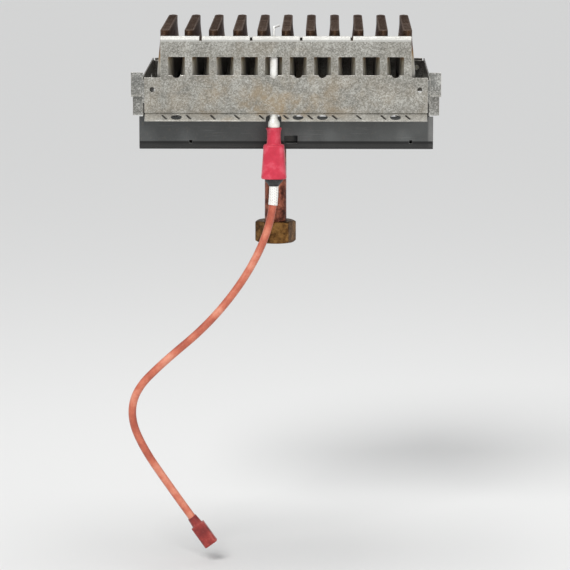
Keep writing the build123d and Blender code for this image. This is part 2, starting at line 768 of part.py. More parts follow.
lead_radii = route_radii(LEAD_ROUTE)
print("lead radii", [round(r, 1) for r in lead_radii])

with BuildPart() as ignition_lead:
    with BuildLine() as lead_line:
        FilletPolyline(*LEAD_ROUTE, radius=lead_radii)
    with BuildSketch(lead_line.line ^ 0):
        Circle(LEAD_R)
    sweep()
save(ignition_lead.part, "ignition_lead")

lead_path = Wire(lead_line.edges())
tube_volume = pi * LEAD_R**2 * lead_path.length
print("lead length", round(lead_path.length, 1))
print("lead volume ratio", round(ignition_lead.part.volume / tube_volume, 4))

sleeve_path = lead_path.trim(0, SLEEVE_LENGTH / lead_path.length)

with BuildPart() as lead_sleeve:
    with BuildSketch(sleeve_path ^ 0):
        Circle(SLEEVE_R)
        Circle(LEAD_R + 0.05, mode=Mode.SUBTRACT)
    sweep(path=sleeve_path)
save(lead_sleeve.part, "lead_sleeve")


# ---- plug at the lead's far end, with its brass terminal ----
PLUG_COLLAR = 8.0
PLUG_LENGTH = 20.0
SOCKET_DEPTH = 11.0
lead_end = Vector(*LEAD_ROUTE[-1])
plug_frame = Plane(origin=lead_end, x_dir=(1, 0, 0.7), z_dir=lead_end - Vector(*LEAD_ROUTE[-2]))

with BuildPart() as lead_connector:
    with BuildSketch(plug_frame):
        Circle(LEAD_R + 0.6)
    with BuildSketch(plug_frame.offset(PLUG_COLLAR)):
        Circle(LEAD_R + 1.3)
    loft()
    with BuildSketch(plug_frame.offset(PLUG_COLLAR)):
        RectangleRounded(12.0, 9.0, 2.6)
    extrude(amount=PLUG_LENGTH)
    fillet(lead_connector.edges().filter_by(GeomType.LINE, reverse=True).group_by(Axis.Z)[0], radius=0.6)
    with BuildSketch(plug_frame.offset(PLUG_COLLAR + PLUG_LENGTH)):
        Rectangle(7.6, 3.0)
    extrude(amount=-SOCKET_DEPTH, mode=Mode.SUBTRACT)
save(lead_connector.part, "lead_connector")

with BuildPart() as lead_terminal:
    with BuildSketch(plug_frame.offset(PLUG_COLLAR + PLUG_LENGTH - SOCKET_DEPTH)):
        Rectangle(7.2, 2.6)
        Rectangle(6.4, 1.2, mode=Mode.SUBTRACT)
    extrude(amount=SOCKET_DEPTH - 1.5)
save(lead_terminal.part, "lead_terminal")
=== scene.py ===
from math import cos, pi, radians, sin, sqrt

import bmesh
import bpy
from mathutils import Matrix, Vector


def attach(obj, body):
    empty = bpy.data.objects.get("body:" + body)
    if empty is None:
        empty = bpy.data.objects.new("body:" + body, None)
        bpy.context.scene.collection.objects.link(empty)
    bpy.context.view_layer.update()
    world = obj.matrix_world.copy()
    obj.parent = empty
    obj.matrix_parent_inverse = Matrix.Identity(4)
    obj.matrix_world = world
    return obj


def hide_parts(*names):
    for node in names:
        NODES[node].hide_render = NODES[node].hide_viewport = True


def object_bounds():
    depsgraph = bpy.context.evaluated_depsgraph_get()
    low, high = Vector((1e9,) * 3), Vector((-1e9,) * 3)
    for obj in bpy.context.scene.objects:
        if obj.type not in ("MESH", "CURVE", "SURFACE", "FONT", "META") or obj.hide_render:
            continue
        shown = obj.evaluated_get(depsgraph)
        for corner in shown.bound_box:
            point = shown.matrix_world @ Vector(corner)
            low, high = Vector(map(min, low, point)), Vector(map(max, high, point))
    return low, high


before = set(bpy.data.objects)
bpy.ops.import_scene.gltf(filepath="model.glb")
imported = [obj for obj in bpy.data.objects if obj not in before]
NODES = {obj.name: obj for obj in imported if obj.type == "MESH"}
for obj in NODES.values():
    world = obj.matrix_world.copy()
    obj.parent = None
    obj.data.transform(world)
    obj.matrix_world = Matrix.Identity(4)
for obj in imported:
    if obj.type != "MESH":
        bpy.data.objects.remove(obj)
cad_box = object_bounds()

MM = 0.001
SAME_POINT = 1e-7            # vertices nearer than this are one, in metres
BURNER = "burner"
SCENE = bpy.context.scene
SCENE.view_settings.view_transform = "Standard"


# -------- camera
CAMERA_AT = (0.037, -3.0, 0.287)
LOOK_AT = (-0.001, 0.02, -0.165)
VIEW_HEIGHT = 0.475          # what the frame takes in at LOOK_AT
SENSOR = 36.0                # mm
CLIP_END = 20.0


def new_object(name, data):
    made = bpy.data.objects.new(name, data)
    SCENE.collection.objects.link(made)
    return made


def aim(made, at, look):
    """Puts a camera or a lamp at a place and turns it to another. Gives the distance between them."""
    made.location = at
    line = Vector(look) - Vector(at)
    made.rotation_euler = line.to_track_quat("-Z", "Y").to_euler()
    return line.length


def make_camera():
    data = bpy.data.cameras.new("camera")
    SCENE.camera = new_object("camera", data)
    data.sensor_width = SENSOR
    data.lens = SENSOR * aim(SCENE.camera, CAMERA_AT, LOOK_AT) / VIEW_HEIGHT
    data.clip_end = CLIP_END


make_camera()


# -------- materials
def srgb(r, g, b):
    """A colour as seen on a screen, 0 to 255, as Blender's linear one."""
    def linear(v):
        v /= 255
        return v / 12.92 if v <= 0.04045 else ((v + 0.055) / 1.055) ** 2.4

    return (linear(r), linear(g), linear(b), 1.0)


class Look:
    """One node-based material. Its grain sizes, bump depths and places along an axis are in mm."""

    def __init__(self, name, metallic=0.0, ior=1.5, coat=0.0, sheen=0.0):
        self.material = bpy.data.materials.new(name)
        self.material.use_nodes = True
        self.tree = self.material.node_tree
        self.shader = self.tree.nodes["Principled BSDF"]
        self.fixed("Metallic", metallic)
        self.fixed("IOR", ior)
        self.fixed("Coat Weight", coat)
        self.fixed("Coat Roughness", 0.2)
        self.fixed("Sheen Weight", sheen)
        self.fixed("Sheen Roughness", 0.5)
        self.place = self.tree.nodes.new("ShaderNodeTexCoord").outputs["Object"]
        self.normal = None

    def fixed(self, key, value):
        self.shader.inputs[key].default_value = value

    def set(self, sockets, values):
        """Joins each node output to its socket, or sets the socket to a plain value."""
        for socket, value in zip(sockets, values):
            if isinstance(value, bpy.types.NodeSocket):
                self.tree.links.new(value, socket)
            else:
                socket.default_value = value

    def node(self, kind, **inputs):
        made = self.tree.nodes.new(kind)
        self.set([made.inputs[key.replace("_", " ")] for key in inputs], inputs.values())
        return made

    def stretched(self, x, y, z):
        """The place, scaled along each axis, for grain and streaks."""
        return self.node("ShaderNodeMapping", Vector=self.place, Scale=(x, y, z)).outputs["Vector"]

    def noise(self, size, detail=3.0, roughness=0.55, place=None, distortion=0.0):
        """Cloudy noise whose lumps are about size across."""
        made = self.node(
            "ShaderNodeTexNoise", Vector=place or self.place, Scale=1 / (size * MM),
            Detail=detail, Roughness=roughness, Distortion=distortion,
        )
        return made.outputs["Fac"]

    def cells(self, size, output="Color"):
        """Grains about size across: a random tone each, or the distance from their middles."""
        made = self.node("ShaderNodeTexVoronoi", Vector=self.place, Scale=1 / (size * MM))
        if output == "Color":
            return self.node("ShaderNodeSeparateColor", Color=made.outputs["Color"]).outputs["Red"]
        return made.outputs[output]

    def axis(self, name):
        return self.node("ShaderNodeSeparateXYZ", Vector=self.place).outputs[name]

    def maths(self, operation, a, b=0.0):
        made = self.tree.nodes.new("ShaderNodeMath")
        made.operation = operation
        self.set(made.inputs, (a, b))
        return made.outputs["Value"]

    def times(self, first, *others):
        for other in others:
            first = self.maths("MULTIPLY", first, other)
        return first

    def plus(self, a, b):
        return self.maths("ADD", a, b)

    def span(self, value, low, high, to_low=0.0, to_high=1.0):
        """value brought from low..high to to_low..to_high, and held there."""
        made = self.tree.nodes.new("ShaderNodeMapRange")
        made.interpolation_type = "SMOOTHSTEP"
        self.set(made.inputs, (value, low, high, to_low, to_high))
        return made.outputs["Result"]

    def along(self, name, low, high, to_low=0.0, to_high=1.0):
        """span along an axis."""
        return self.span(self.axis(name), low * MM, high * MM, to_low, to_high)

    def ramp(self, value, *stops):
        """stops are (position, colour)."""
        made = self.node("ShaderNodeValToRGB", Fac=value)
        elements = made.color_ramp.elements
        while len(elements) < len(stops):
            elements.new(0.5)
        for element, (position, colour) in zip(elements, stops):
            element.position = position
            element.color = colour
        return made.outputs["Color"]

    def mix(self, amount, a, b):
        """Colour a, with that amount of b over it."""
        made = self.tree.nodes.new("ShaderNodeMix")
        made.data_type = "RGBA"
        self.set((made.inputs[0], made.inputs[6], made.inputs[7]), (amount, a, b))
        return made.outputs[2]

    def tint(self, under, colour, *amounts):
        """under, with colour over it, as much as the product of the amounts."""
        return self.mix(self.times(*amounts), under, colour)

    def over(self, under, colour, value, low, high, amount=1.0):
        """under, with colour over it where value is high: none at low, that amount at high."""
        return self.mix(self.span(value, low, high, 0.0, amount), under, colour)

    def bump(self, height, strength, depth):
        made = self.node("ShaderNodeBump", Height=height, Strength=strength, Distance=depth * MM)
        if self.normal:
            self.tree.links.new(self.normal, made.inputs["Normal"])
        self.normal = made.outputs["Normal"]

    def done(self, colour, roughness):
        self.set((self.shader.inputs["Base Color"], self.shader.inputs["Roughness"]), (colour, roughness))
        if self.normal:
            self.tree.links.new(self.normal, self.shader.inputs["Normal"])
        return self.material


def coated_sheet(name, light, dark, stain, stain_amount, metallic=0.5):
    """Aluminised steel sheet: a fine spangle, soft mottling, brown stains, specks and scratches, with painted
    highlights on the ledge and the hem and painted shade inside.
    """
    look = Look(name, metallic=metallic)
    spangle = look.cells(1.0)
    fine = look.noise(0.55, detail=3.0, roughness=0.65)
    cloud = look.noise(15, detail=6.0, roughness=0.6)
    tone = look.plus(look.times(spangle, 0.24), look.times(fine, 0.46))
    tone = look.plus(tone, look.times(cloud, 0.46))
    colour = look.ramp(look.span(tone, 0.30, 0.86), (0.0, dark), (0.6, light), (1.0, srgb(206, 205, 199)))
    # stains, strongest about the middle of the front and low on it
    patch = look.span(look.noise(24, detail=6.0, roughness=0.65, distortion=0.5), 0.40, 0.70)
    middle = look.span(look.maths("ABSOLUTE", look.plus(look.axis("X"), 12 * MM)), 0.0, 95 * MM, 1.0, 0.3)
    low = look.along("Z", -12, 22, 1.0, 0.2)
    amount = look.times(patch, middle, low, stain_amount)
    colour = look.tint(colour, stain, amount)
    specks = look.span(look.noise(1.6, detail=4.0, roughness=0.7), 0.66, 0.74)
    colour = look.tint(colour, srgb(92, 78, 62), specks, 0.5)
    scratch = look.span(look.noise(1.2, detail=3.0, place=look.stretched(0.05, 0.4, 1.0)), 0.66, 0.72)
    colour = look.tint(colour, srgb(200, 198, 191), scratch, 0.3)
    # painted highlight: the ledge below the panel is painted brighter
    ledge_highlight = (look.along("Z", -20.6, -19.6, 1.0, 0.0), look.along("Y", 2, 4, 0.18, 0.0))
    colour = look.tint(colour, srgb(222, 221, 216), *ledge_highlight)
    # soot and painted shade inside, behind the front panel
    inside = look.along("Y", 5, 60)
    above = look.along("Z", -20, 8)
    soot = look.times(inside, above, look.span(cloud, 0.3, 0.65, 0.55, 0.9))
    colour = look.tint(colour, srgb(50, 44, 38), soot)
    # painted highlight on the hem along the front panel's top
    hem_highlight = (look.along("Z", 39.2, 40.0), look.along("Y", 4, 9, 0.75, 0.0))
    colour = look.tint(colour, srgb(198, 197, 192), *hem_highlight)
    rough = look.plus(look.span(tone, 0.3, 0.85, 0.56, 0.40), look.times(amount, 0.2))
    look.bump(fine, 0.35, 0.04)
    look.bump(look.noise(9, detail=2.0), 0.25, 0.25)
    look.bump(scratch, -0.3, 0.03)
    return look.done(colour, rough)


def highlit_edge(name, colour, dull):
    """The cut edge of a sheet, brighter than its face in patches: a painted highlight."""
    look = Look(name, metallic=0.6)
    grain = look.noise(0.8, detail=3.0)
    highlight_patches = look.span(look.noise(7, detail=5.0, roughness=0.6), 0.40, 0.62)
    # painted highlight: the bright edge colour in patches over the dull one
    shade = look.mix(highlight_patches, dull, colour)
    shade = look.over(shade, srgb(92, 82, 70), grain, 0.55, 0.75, 0.6)
    look.bump(grain, 0.3, 0.04)
    return look.done(shade, look.span(highlight_patches, 0.0, 1.0, 0.46, 0.28))


def dark_sheet(name):
    """The apron's satin dark grey sheet, its grey partly painted shade from the ledge above, painted lighter
    towards one end, scuffed and dusty, with painted shade on its lower roll.
    """
    look = Look(name, metallic=0.15, coat=0.05)
    cloud = look.noise(22, detail=6.0, roughness=0.6)
    fine = look.noise(0.7, detail=2.0)
    # the base greys are partly painted shade from the ledge above, painted lighter towards the right end,
    # with a painted highlight on the end flange
    along = look.along("X", -110, 110)
    base = look.mix(along, srgb(82, 84, 84), srgb(94, 96, 95))
    end = look.along("X", 116.5, 118.5)
    base = look.tint(base, srgb(140, 140, 138), end)
    base = look.over(base, srgb(70, 71, 70), cloud, 0.35, 0.72, 0.5)
    base = look.over(base, srgb(116, 117, 115), fine, 0.5, 0.8, 0.35)
    line = look.noise(0.8, detail=2.0, place=look.stretched(0.02, 1.0, 1.0))
    base = look.over(base, srgb(138, 139, 137), line, 0.62, 0.7, 0.35)
    dust = look.span(look.noise(3, detail=5.0, roughness=0.7), 0.55, 0.75, 0.0, 0.3)
    base = look.tint(base, srgb(120, 112, 100), dust)
    # painted shade on its lowest 8 mm, where the roll turns away from the light, darkest along two lines
    roll_shade = look.along("Z", -44.6, -43.4, 0.85, 0.0)
    base = look.tint(base, srgb(26, 25, 23), roll_shade)
    for level in (-45.2 * MM, -50.2 * MM):
        off = look.maths("ABSOLUTE", look.maths("SUBTRACT", look.axis("Z"), level))
        base = look.mix(look.span(off, 0.5 * MM, 1.3 * MM, 0.85, 0.0), base, srgb(16, 15, 15))
    look.bump(fine, 0.25, 0.04)
    look.bump(cloud, 0.2, 0.3)
    return look.done(base, look.span(cloud, 0.3, 0.7, 0.5, 0.38))


def tinted_blade(name):
    """Stainless sheet, straw to brown and blue-violet towards its ports from the flames' heat, with painted
    shade under the front ledge and between the blades.
    """
    look = Look(name, metallic=0.85)
    cloud = look.noise(11, detail=5.0, roughness=0.62)
    fine = look.noise(0.8, detail=2.0)
    height = look.plus(look.axis("Z"), look.times(look.maths("SUBTRACT", cloud, 0.5), 16 * MM))
    heat = look.span(height, 2 * MM, 48 * MM)
    colour = look.ramp(
        heat,
        (0.0, srgb(196, 194, 188)),
        (0.42, srgb(206, 200, 184)),
        (0.60, srgb(176, 142, 98)),
        (0.74, srgb(122, 82, 52)),
        (0.86, srgb(96, 68, 64)),
        (1.0, srgb(84, 60, 42)),
    )
    rear = look.along("Y", 100, 185)
    colour = look.tint(colour, srgb(58, 36, 26), rear, 0.35)
    soot = look.span(look.noise(5, detail=6.0, roughness=0.7), 0.5, 0.75)
    colour = look.tint(colour, srgb(38, 30, 25), soot, heat, 0.75)
    scale_bloom = look.span(look.cells(2.4, output="Distance"), 0.0, 0.5, 0.25, 0.0)
    colour = look.tint(colour, srgb(150, 126, 98), scale_bloom, heat)
    drawn = look.noise(0.6, detail=3.0, place=look.stretched(1.0, 0.03, 1.0))
    colour = look.over(colour, srgb(196, 190, 176), drawn, 0.5, 0.75, 0.22)
    # painted shade on the tongues under the front ledge
    tongue_shade = (look.along("Z", -21, -17, 1.0, 0.0), look.along("Y", 9, 16, 0.85, 0.0))
    colour = look.tint(colour, srgb(44, 41, 38), *tongue_shade)
    # painted shade on the faces between two blades, behind the front ends
    between = look.span(look.maths("ABSOLUTE", look.axis("X")), 101 * MM, 102 * MM, 1.0, 0.0)
    deep = look.times(look.along("Y", 18, 60), look.along("Z", -18, -6))
    deep = look.times(deep, look.along("Z", 22, 32, 1.0, 0.0))
    colour = look.tint(colour, srgb(34, 29, 25), deep, between, 0.8)
    # spot welds along the crimped web
    across = look.maths("SUBTRACT", look.maths("PINGPONG", look.axis("Y"), 11 * MM), 5.5 * MM)
    above = look.plus(look.axis("Z"), 18 * MM)
    reach = look.maths("SQRT", look.plus(look.maths("POWER", across, 2.0), look.maths("POWER", above, 2.0)))
    weld = look.span(reach, 1.3 * MM, 1.9 * MM, 1.0, 0.0)
    ring = look.maths("SUBTRACT", look.span(reach, 1.9 * MM, 3.4 * MM, 1.0, 0.0), weld)
    colour = look.tint(colour, srgb(120, 96, 70), ring, 0.5)
    look.bump(weld, -0.6, 0.25)
    look.bump(drawn, 0.2, 0.03)
    look.bump(fine, 0.3, 0.04)
    look.bump(cloud, 0.15, 0.5)
    return look.done(colour, look.plus(look.span(heat, 0.0, 1.0, 0.33, 0.55), look.times(soot, 0.15)))


def plated_tube(name):
    """The gas tube's dull grey plating, darkened as painted shade behind the apron's slot, with dust and a
    rolled grain along it.
    """
    look = Look(name, metallic=0.5)
    cloud = look.noise(14, detail=5.0)
    grain = look.noise(0.7, detail=2.0, place=look.stretched(0.05, 1.0, 1.0))
    # painted shade: dark colours, so the tube reads black through the apron's slot
    shades = ((0.0, srgb(42, 43, 44)), (0.6, srgb(56, 57, 58)), (1.0, srgb(76, 75, 72)))
    colour = look.ramp(look.span(cloud, 0.3, 0.7), *shades)
    rust = look.span(look.noise(4, detail=6.0, roughness=0.7), 0.62, 0.72)
    colour = look.tint(colour, srgb(92, 66, 48), rust, 0.6)
    colour = look.over(colour, srgb(110, 110, 108), grain, 0.5, 0.75, 0.3)
    look.bump(grain, 0.25, 0.03)
    look.bump(rust, 0.2, 0.05)
    return look.done(colour, look.span(cloud, 0.3, 0.7, 0.5, 0.36))


def tarnished(name, bright, mid, dark, tarnish, roughness, grain_size=0.5, turned=True):
    """Brass or copper: bright where handled, brown where tarnished, with fine turning or drawing lines."""
    look = Look(name, metallic=1.0)
    cloud = look.noise(7, detail=6.0, roughness=0.65)
    blotch = look.span(look.noise(2.6, detail=5.0, roughness=0.7), 0.45, 0.72)
    colour = look.ramp(look.span(cloud, 0.32, 0.68), (0.0, dark), (0.5, mid), (1.0, bright))
    colour = look.tint(colour, dark, blotch, tarnish)
    grain = look.stretched(0.06, 0.06, 1.0) if turned else look.stretched(1, 1, 0.05)
    lines = look.noise(grain_size, detail=2.0, place=grain)
    colour = look.over(colour, bright, lines, 0.5, 0.75, 0.25)
    look.bump(lines, 0.25, 0.03)
    look.bump(blotch, 0.15, 0.04)
    rough = look.plus(look.span(cloud, 0.3, 0.7, roughness + 0.12, roughness), look.times(blotch, 0.15))
    return look.done(colour, rough)


def silicone(name, base, deep, bloom, size, roughness=0.42, sheen=0.15):
    """Moulded silicone: an even colour that pales in a dusty bloom, with a faint skin texture."""
    look = Look(name, ior=1.43, sheen=sheen, coat=0.04)
    cloud = look.noise(size, detail=5.0, roughness=0.6)
    skin = look.noise(0.35, detail=2.0)
    colour = look.ramp(look.span(cloud, 0.3, 0.72), (0.0, deep), (0.5, base), (1.0, bloom))
    dust = look.span(look.noise(1.4, detail=5.0, roughness=0.7), 0.55, 0.78, 0.0, 0.45)
    colour = look.tint(colour, bloom, dust)
    rub = look.span(look.noise(3.2, detail=4.0, place=look.stretched(1, 1, 0.3)), 0.6, 0.7, 0.0, 0.15)
    colour = look.tint(colour, deep, rub)
    look.bump(skin, 0.3, 0.03)
    look.bump(cloud, 0.15, 0.2)
    look.fixed("Subsurface Weight", 0.08)
    look.fixed("Subsurface Radius", (2 * MM, 0.7 * MM, 0.5 * MM))
    return look.done(colour, look.span(cloud, 0.3, 0.7, roughness + 0.1, roughness))


def glazed_ceramic(name):
    """White alumina: almost even, with a few iron specks and painted grey shade at its top."""
    look = Look(name, ior=1.6, coat=0.25)
    cloud = look.noise(5, detail=4.0)
    colour = look.mix(look.span(cloud, 0.3, 0.7), srgb(250, 250, 246), srgb(234, 232, 224))
    specks = look.span(look.noise(0.7, detail=2.0), 0.70, 0.76, 0.0, 0.6)
    colour = look.tint(colour, srgb(150, 132, 110), specks)
    # painted shade: greyer towards its top, behind the front panel
    top_shade = look.along("Z", 8, 24, 0.0, 0.45)
    colour = look.tint(colour, srgb(150, 136, 118), top_shade, cloud)
    look.bump(look.noise(0.6, detail=2.0), 0.12, 0.03)
    return look.done(colour, look.span(cloud, 0.3, 0.7, 0.32, 0.22))


def zinc(name):
    """Zinc-plated screws: bluish white with a faint yellow iridescence and scuffs in the drive."""
    look = Look(name, metallic=1.0)
    cloud = look.noise(1.6, detail=5.0)
    shades = ((0.0, srgb(150, 150, 146)), (0.6, srgb(196, 196, 188)), (1.0, srgb(214, 206, 178)))
    colour = look.ramp(look.span(cloud, 0.3, 0.7), *shades)
    colour = look.over(colour, srgb(118, 108, 94), look.noise(0.8, detail=4.0), 0.6, 0.75, 0.6)
    look.bump(look.noise(0.4, detail=3.0), 0.25, 0.03)
    return look.done(colour, look.span(cloud, 0.3, 0.7, 0.42, 0.26))


def hot_wire(name):
    """Heat-resisting electrode metal: grey, straw and blue by height, bright at its tip."""
    look = Look(name, metallic=0.55)
    cloud = look.noise(2.2, detail=5.0)
    heat = look.span(look.plus(look.axis("Z"), look.times(cloud, 6 * MM)), 22 * MM, 54 * MM)
    colour = look.ramp(
        heat,
        (0.0, srgb(170, 168, 162)),
        (0.4, srgb(168, 150, 120)),
        (0.6, srgb(176, 168, 164)),
        (0.8, srgb(250, 249, 245)),
    )
    drawn = look.noise(0.3, detail=2.0, place=look.stretched(1, 1, 0.05))
    colour = look.over(colour, srgb(120, 112, 104), drawn, 0.5, 0.8, 0.3)
    look.bump(drawn, 0.2, 0.02)
    return look.done(colour, look.span(cloud, 0.3, 0.7, 0.42, 0.3))


def matt_rubber(name, base, dust_colour, dust_amount=0.4):
    """Rubber or pressed fibre: matt, with dust caught in its pores."""
    look = Look(name, sheen=0.1)
    pores = look.noise(0.5, detail=3.0)
    dust = look.span(look.noise(2.5, detail=5.0, roughness=0.7), 0.45, 0.75, 0.0, dust_amount)
    tone = look.mix(look.span(pores, 0.4, 0.7, 0.0, 0.5), base, tuple(0.5 * v for v in base[:3]) + (1.0,))
    look.bump(pores, 0.35, 0.05)
    return look.done(look.mix(dust, tone, dust_colour), look.span(pores, 0.3, 0.7, 0.7, 0.55))


def sleeve_fabric(name):
    """White glass-fibre sleeve: a fine diagonal braid, a little soiled."""
    look = Look(name, sheen=0.3)
    turned = look.node("ShaderNodeMapping", Vector=look.place, Rotation=(0.0, radians(45), radians(20)))
    strands = []
    for place, scale, distortion in ((turned.outputs["Vector"], 220.0, 1.5), (look.place, 200.0, 2.0)):
        wave = look.node("ShaderNodeTexWave", Vector=place, Scale=scale, Distortion=distortion, Detail=1.0)
        strands.append(wave.outputs["Fac"])
    braid = look.maths("MAXIMUM", *strands)
    soil = look.span(look.noise(3, detail=5.0, roughness=0.7), 0.5, 0.75, 0.0, 0.4)
    colour = look.mix(braid, srgb(204, 202, 194), srgb(250, 249, 245))
    colour = look.tint(colour, srgb(176, 160, 142), soil)
    look.bump(braid, 0.4, 0.08)
    return look.done(colour, 0.7)


# what makes it, slot, and the maker's own values
MATERIALS = [
    (coated_sheet, "panel_sheet", srgb(162, 160, 152), srgb(109, 107, 101), srgb(160, 138, 104), 0.8),
    (coated_sheet, "side_sheet", srgb(140, 140, 136), srgb(96, 96, 92), srgb(116, 100, 80), 0.5),
    (dark_sheet, "apron_sheet"),
    (tinted_blade, "blade_steel"),
    (plated_tube, "manifold_steel"),
    (
        coated_sheet, "washer_aluminium",
        srgb(206, 207, 208), srgb(160, 161, 162), srgb(120, 112, 100), 0.3, 0.9,
    ),
    (tarnished, "injector_brass", srgb(236, 204, 132), srgb(212, 172, 96), srgb(150, 112, 58), 0.35, 0.24),
    (tarnished, "nut_brass", srgb(146, 108, 62), srgb(112, 79, 44), srgb(62, 42, 27), 0.65, 0.36),
    (
        tarnished, "pipe_copper",
        srgb(178, 110, 86), srgb(126, 74, 60), srgb(66, 40, 34), 0.7, 0.36, 0.6, False,
    ),
    (matt_rubber, "gasket_fibre", srgb(70, 112, 84), srgb(150, 150, 140)),
    (zinc, "screw_zinc"),
    (hot_wire, "pin_steel"),
    (glazed_ceramic, "ceramic_white"),
    (silicone, "boot_silicone", srgb(204, 48, 72), srgb(190, 38, 62), srgb(220, 86, 104), 12),
    (matt_rubber, "grommet_rubber", srgb(34, 33, 34), srgb(90, 86, 82), 0.3),
    (silicone, "lead_silicone", srgb(198, 108, 82), srgb(166, 78, 58), srgb(222, 146, 120), 22),
    (sleeve_fabric, "sleeve_white"),
    (silicone, "connector_silicone", srgb(150, 50, 44), srgb(116, 32, 30), srgb(180, 92, 82), 8),
]
LOOKS = {slot: make(slot, *values) for make, slot, *values in MATERIALS}
# painted highlights for the broken edges of the pale sheets and of the dark apron
SHEET_EDGE_HIGHLIGHT = highlit_edge("sheet_edge_highlight", srgb(226, 223, 214), srgb(150, 147, 139))
DARK_EDGE_HIGHLIGHT = highlit_edge("dark_edge_highlight", srgb(108, 108, 106), srgb(56, 56, 54))


# -------- piece helpers
def put_on(name, data, slot, node, body=BURNER):
    """An object of the part, with its slot's material, in a CAD node's place."""
    made = new_object(name, data)
    data.materials.append(LOOKS[slot])
    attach(made, body)
    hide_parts(node)
    return made


def add_piece(name, mesh, slot, node, body=BURNER, sharp=None, extra=None):
    """A smooth mesh, put on. sharp is the angle in degrees at which an edge stays crisp."""
    made = put_on(name, mesh, slot, node, body)
    if extra:
        mesh.materials.append(extra)
    for face in mesh.polygons:
        face.use_smooth = True
    if sharp is not None:
        sharpen(mesh, sharp)
    return made


def finished(work, name):
    """The mesh that a bmesh has become."""
    mesh = bpy.data.meshes.new(name)
    work.to_mesh(mesh)
    work.free()
    return mesh


def sharpen(mesh, degrees):
    """Marks as sharp the edges that turn by more than that."""
    work = bmesh.new()
    work.from_mesh(mesh)
    for edge in work.edges:
        edge.smooth = not (len(edge.link_faces) == 2 and edge.calc_face_angle(0.0) > radians(degrees))
    work.to_mesh(mesh)
    work.free()


SAME_CORNER = 1e-6           # as SAME_POINT, for the CAD's own corners
ONE_FLAT = radians(0.5)      # CAD triangles that turn by less are one flat face
BROKEN_OVER = radians(32)    # edges that turn by more are broken


def softened(node, width, slot, segments=2, edge=None):
    """A copy of a CAD node's shape with its sharp edges broken. edge is the material of the broken edges."""
    work = bmesh.new()
    work.from_mesh(NODES[node].data)
    bmesh.ops.remove_doubles(work, verts=work.verts, dist=SAME_CORNER)
    bmesh.ops.dissolve_limit(work, angle_limit=ONE_FLAT, verts=work.verts, edges=work.edges)
    bmesh.ops.triangulate(work, faces=work.faces, quad_method="BEAUTY", ngon_method="BEAUTY")
    made = add_piece(node + "_finished", finished(work, node + "_shape"), slot, node, extra=edge)
    bevel = made.modifiers.new("broken_edges", "BEVEL")
    bevel.width = width
    bevel.segments = segments
    bevel.limit_method = "ANGLE"
    bevel.angle_limit = BROKEN_OVER
    bevel.use_clamp_overlap = True
    bevel.loop_slide = False
    bevel.face_strength_mode = "FSTR_ALL"
    if edge:
        bevel.material = 1
    even = made.modifiers.new("even_normals", "WEIGHTED_NORMAL")
    even.mode = "FACE_AREA_WITH_ANGLE"
    even.weight = 100
    even.use_face_influence = True
    return made


def grid_faces(work, rows, closed=False):
    """Quads between rows of vertices. closed joins each row's end to its start."""
    faces = []
    for low, high in zip(rows, rows[1:]):
        count = len(low)
        for i in range(count if closed else count - 1):
            j = (i + 1) % count
            quad = [low[i], low[j], high[j], high[i]]
            if len(set(quad)) == 4:
                faces.append(work.faces.new(quad))
    return faces


def lathe_mesh(name, profile, centre, segments=48):
    """Turns (radius, z) points about a vertical axis. A radius may be a function of z and the angle."""
    work = bmesh.new()
    rows = []
    for radius, z in profile:
        row = []
        for step in range(segments):
            angle = 2 * pi * step / segments
            r = radius(z, angle) if callable(radius) else radius
            row.append(work.verts.new((centre[0] + r * cos(angle), centre[1] + r * sin(angle), z)))
        rows.append(row)
    grid_faces(work, rows, closed=True)
    bmesh.ops.remove_doubles(work, verts=work.verts, dist=SAME_POINT)
    bmesh.ops.recalc_face_normals(work, faces=work.faces)
    return finished(work, name)


def arc(centre, radius, start, end, steps=5):
    """Points (radius, z) along an arc, for a turned profile. Angles are in degrees."""
    turns = [radians(start + (end - start) * i / steps) for i in range(steps + 1)]
    return [(centre[0] + radius * cos(t), centre[1] + radius * sin(t)) for t in turns]


def spread(low, high, count):
    return [low + (high - low) * i / (count - 1) for i in range(count)]


def wire(name, places, radius, steps, sides):
    """The curve of a round wire that is led by places."""
    data = bpy.data.curves.new(name, "CURVE")
    data.dimensions = "3D"
    data.resolution_u = steps
    data.bevel_depth = radius
    data.bevel_resolution = sides
    data.use_fill_caps = True
    spline = data.splines.new("NURBS")
    spline.points.add(len(places) - 1)
    for point, place in zip(spline.points, places):
        point.co = (*place, 1.0)
    spline.order_u = 3
    spline.use_endpoint_u = True
    return data


# -------- ignition lead and what is on it
LEAD_ROUTE = [
    (-0.010, 0.0057, -0.080),
    (-0.010, 0.0057, -0.098),
    (-0.019, 0.0005, -0.129),
    (-0.038, -0.008, -0.162),
    (-0.066, -0.014, -0.195),
    (-0.101, -0.017, -0.224),
    (-0.124, -0.018, -0.247),
    (-0.1285, -0.017, -0.271),
    (-0.118, -0.015, -0.297),
    (-0.098, -0.014, -0.327),
    (-0.078, -0.015, -0.355),
]
LEAD_STEPS = 14              # steps from one of its points to the next
LEAD_SIDES = 6
LEAD_R = 3.25 * MM
SLEEVE_R = 3.9 * MM
SLEEVE_LENGTH = 16 * MM


def route_points():
    """The points of the lead's own line, in order."""
    thread = new_object("lead_line", wire("lead_line", LEAD_ROUTE, 0.0, LEAD_STEPS, LEAD_SIDES))
    bpy.context.view_layer.update()
    mesh = bpy.data.meshes.new_from_object(thread.evaluated_get(bpy.context.evaluated_depsgraph_get()))
    points = [v.co.copy() for v in mesh.vertices]
    bpy.data.meshes.remove(mesh)
    bpy.data.objects.remove(thread)
    return points


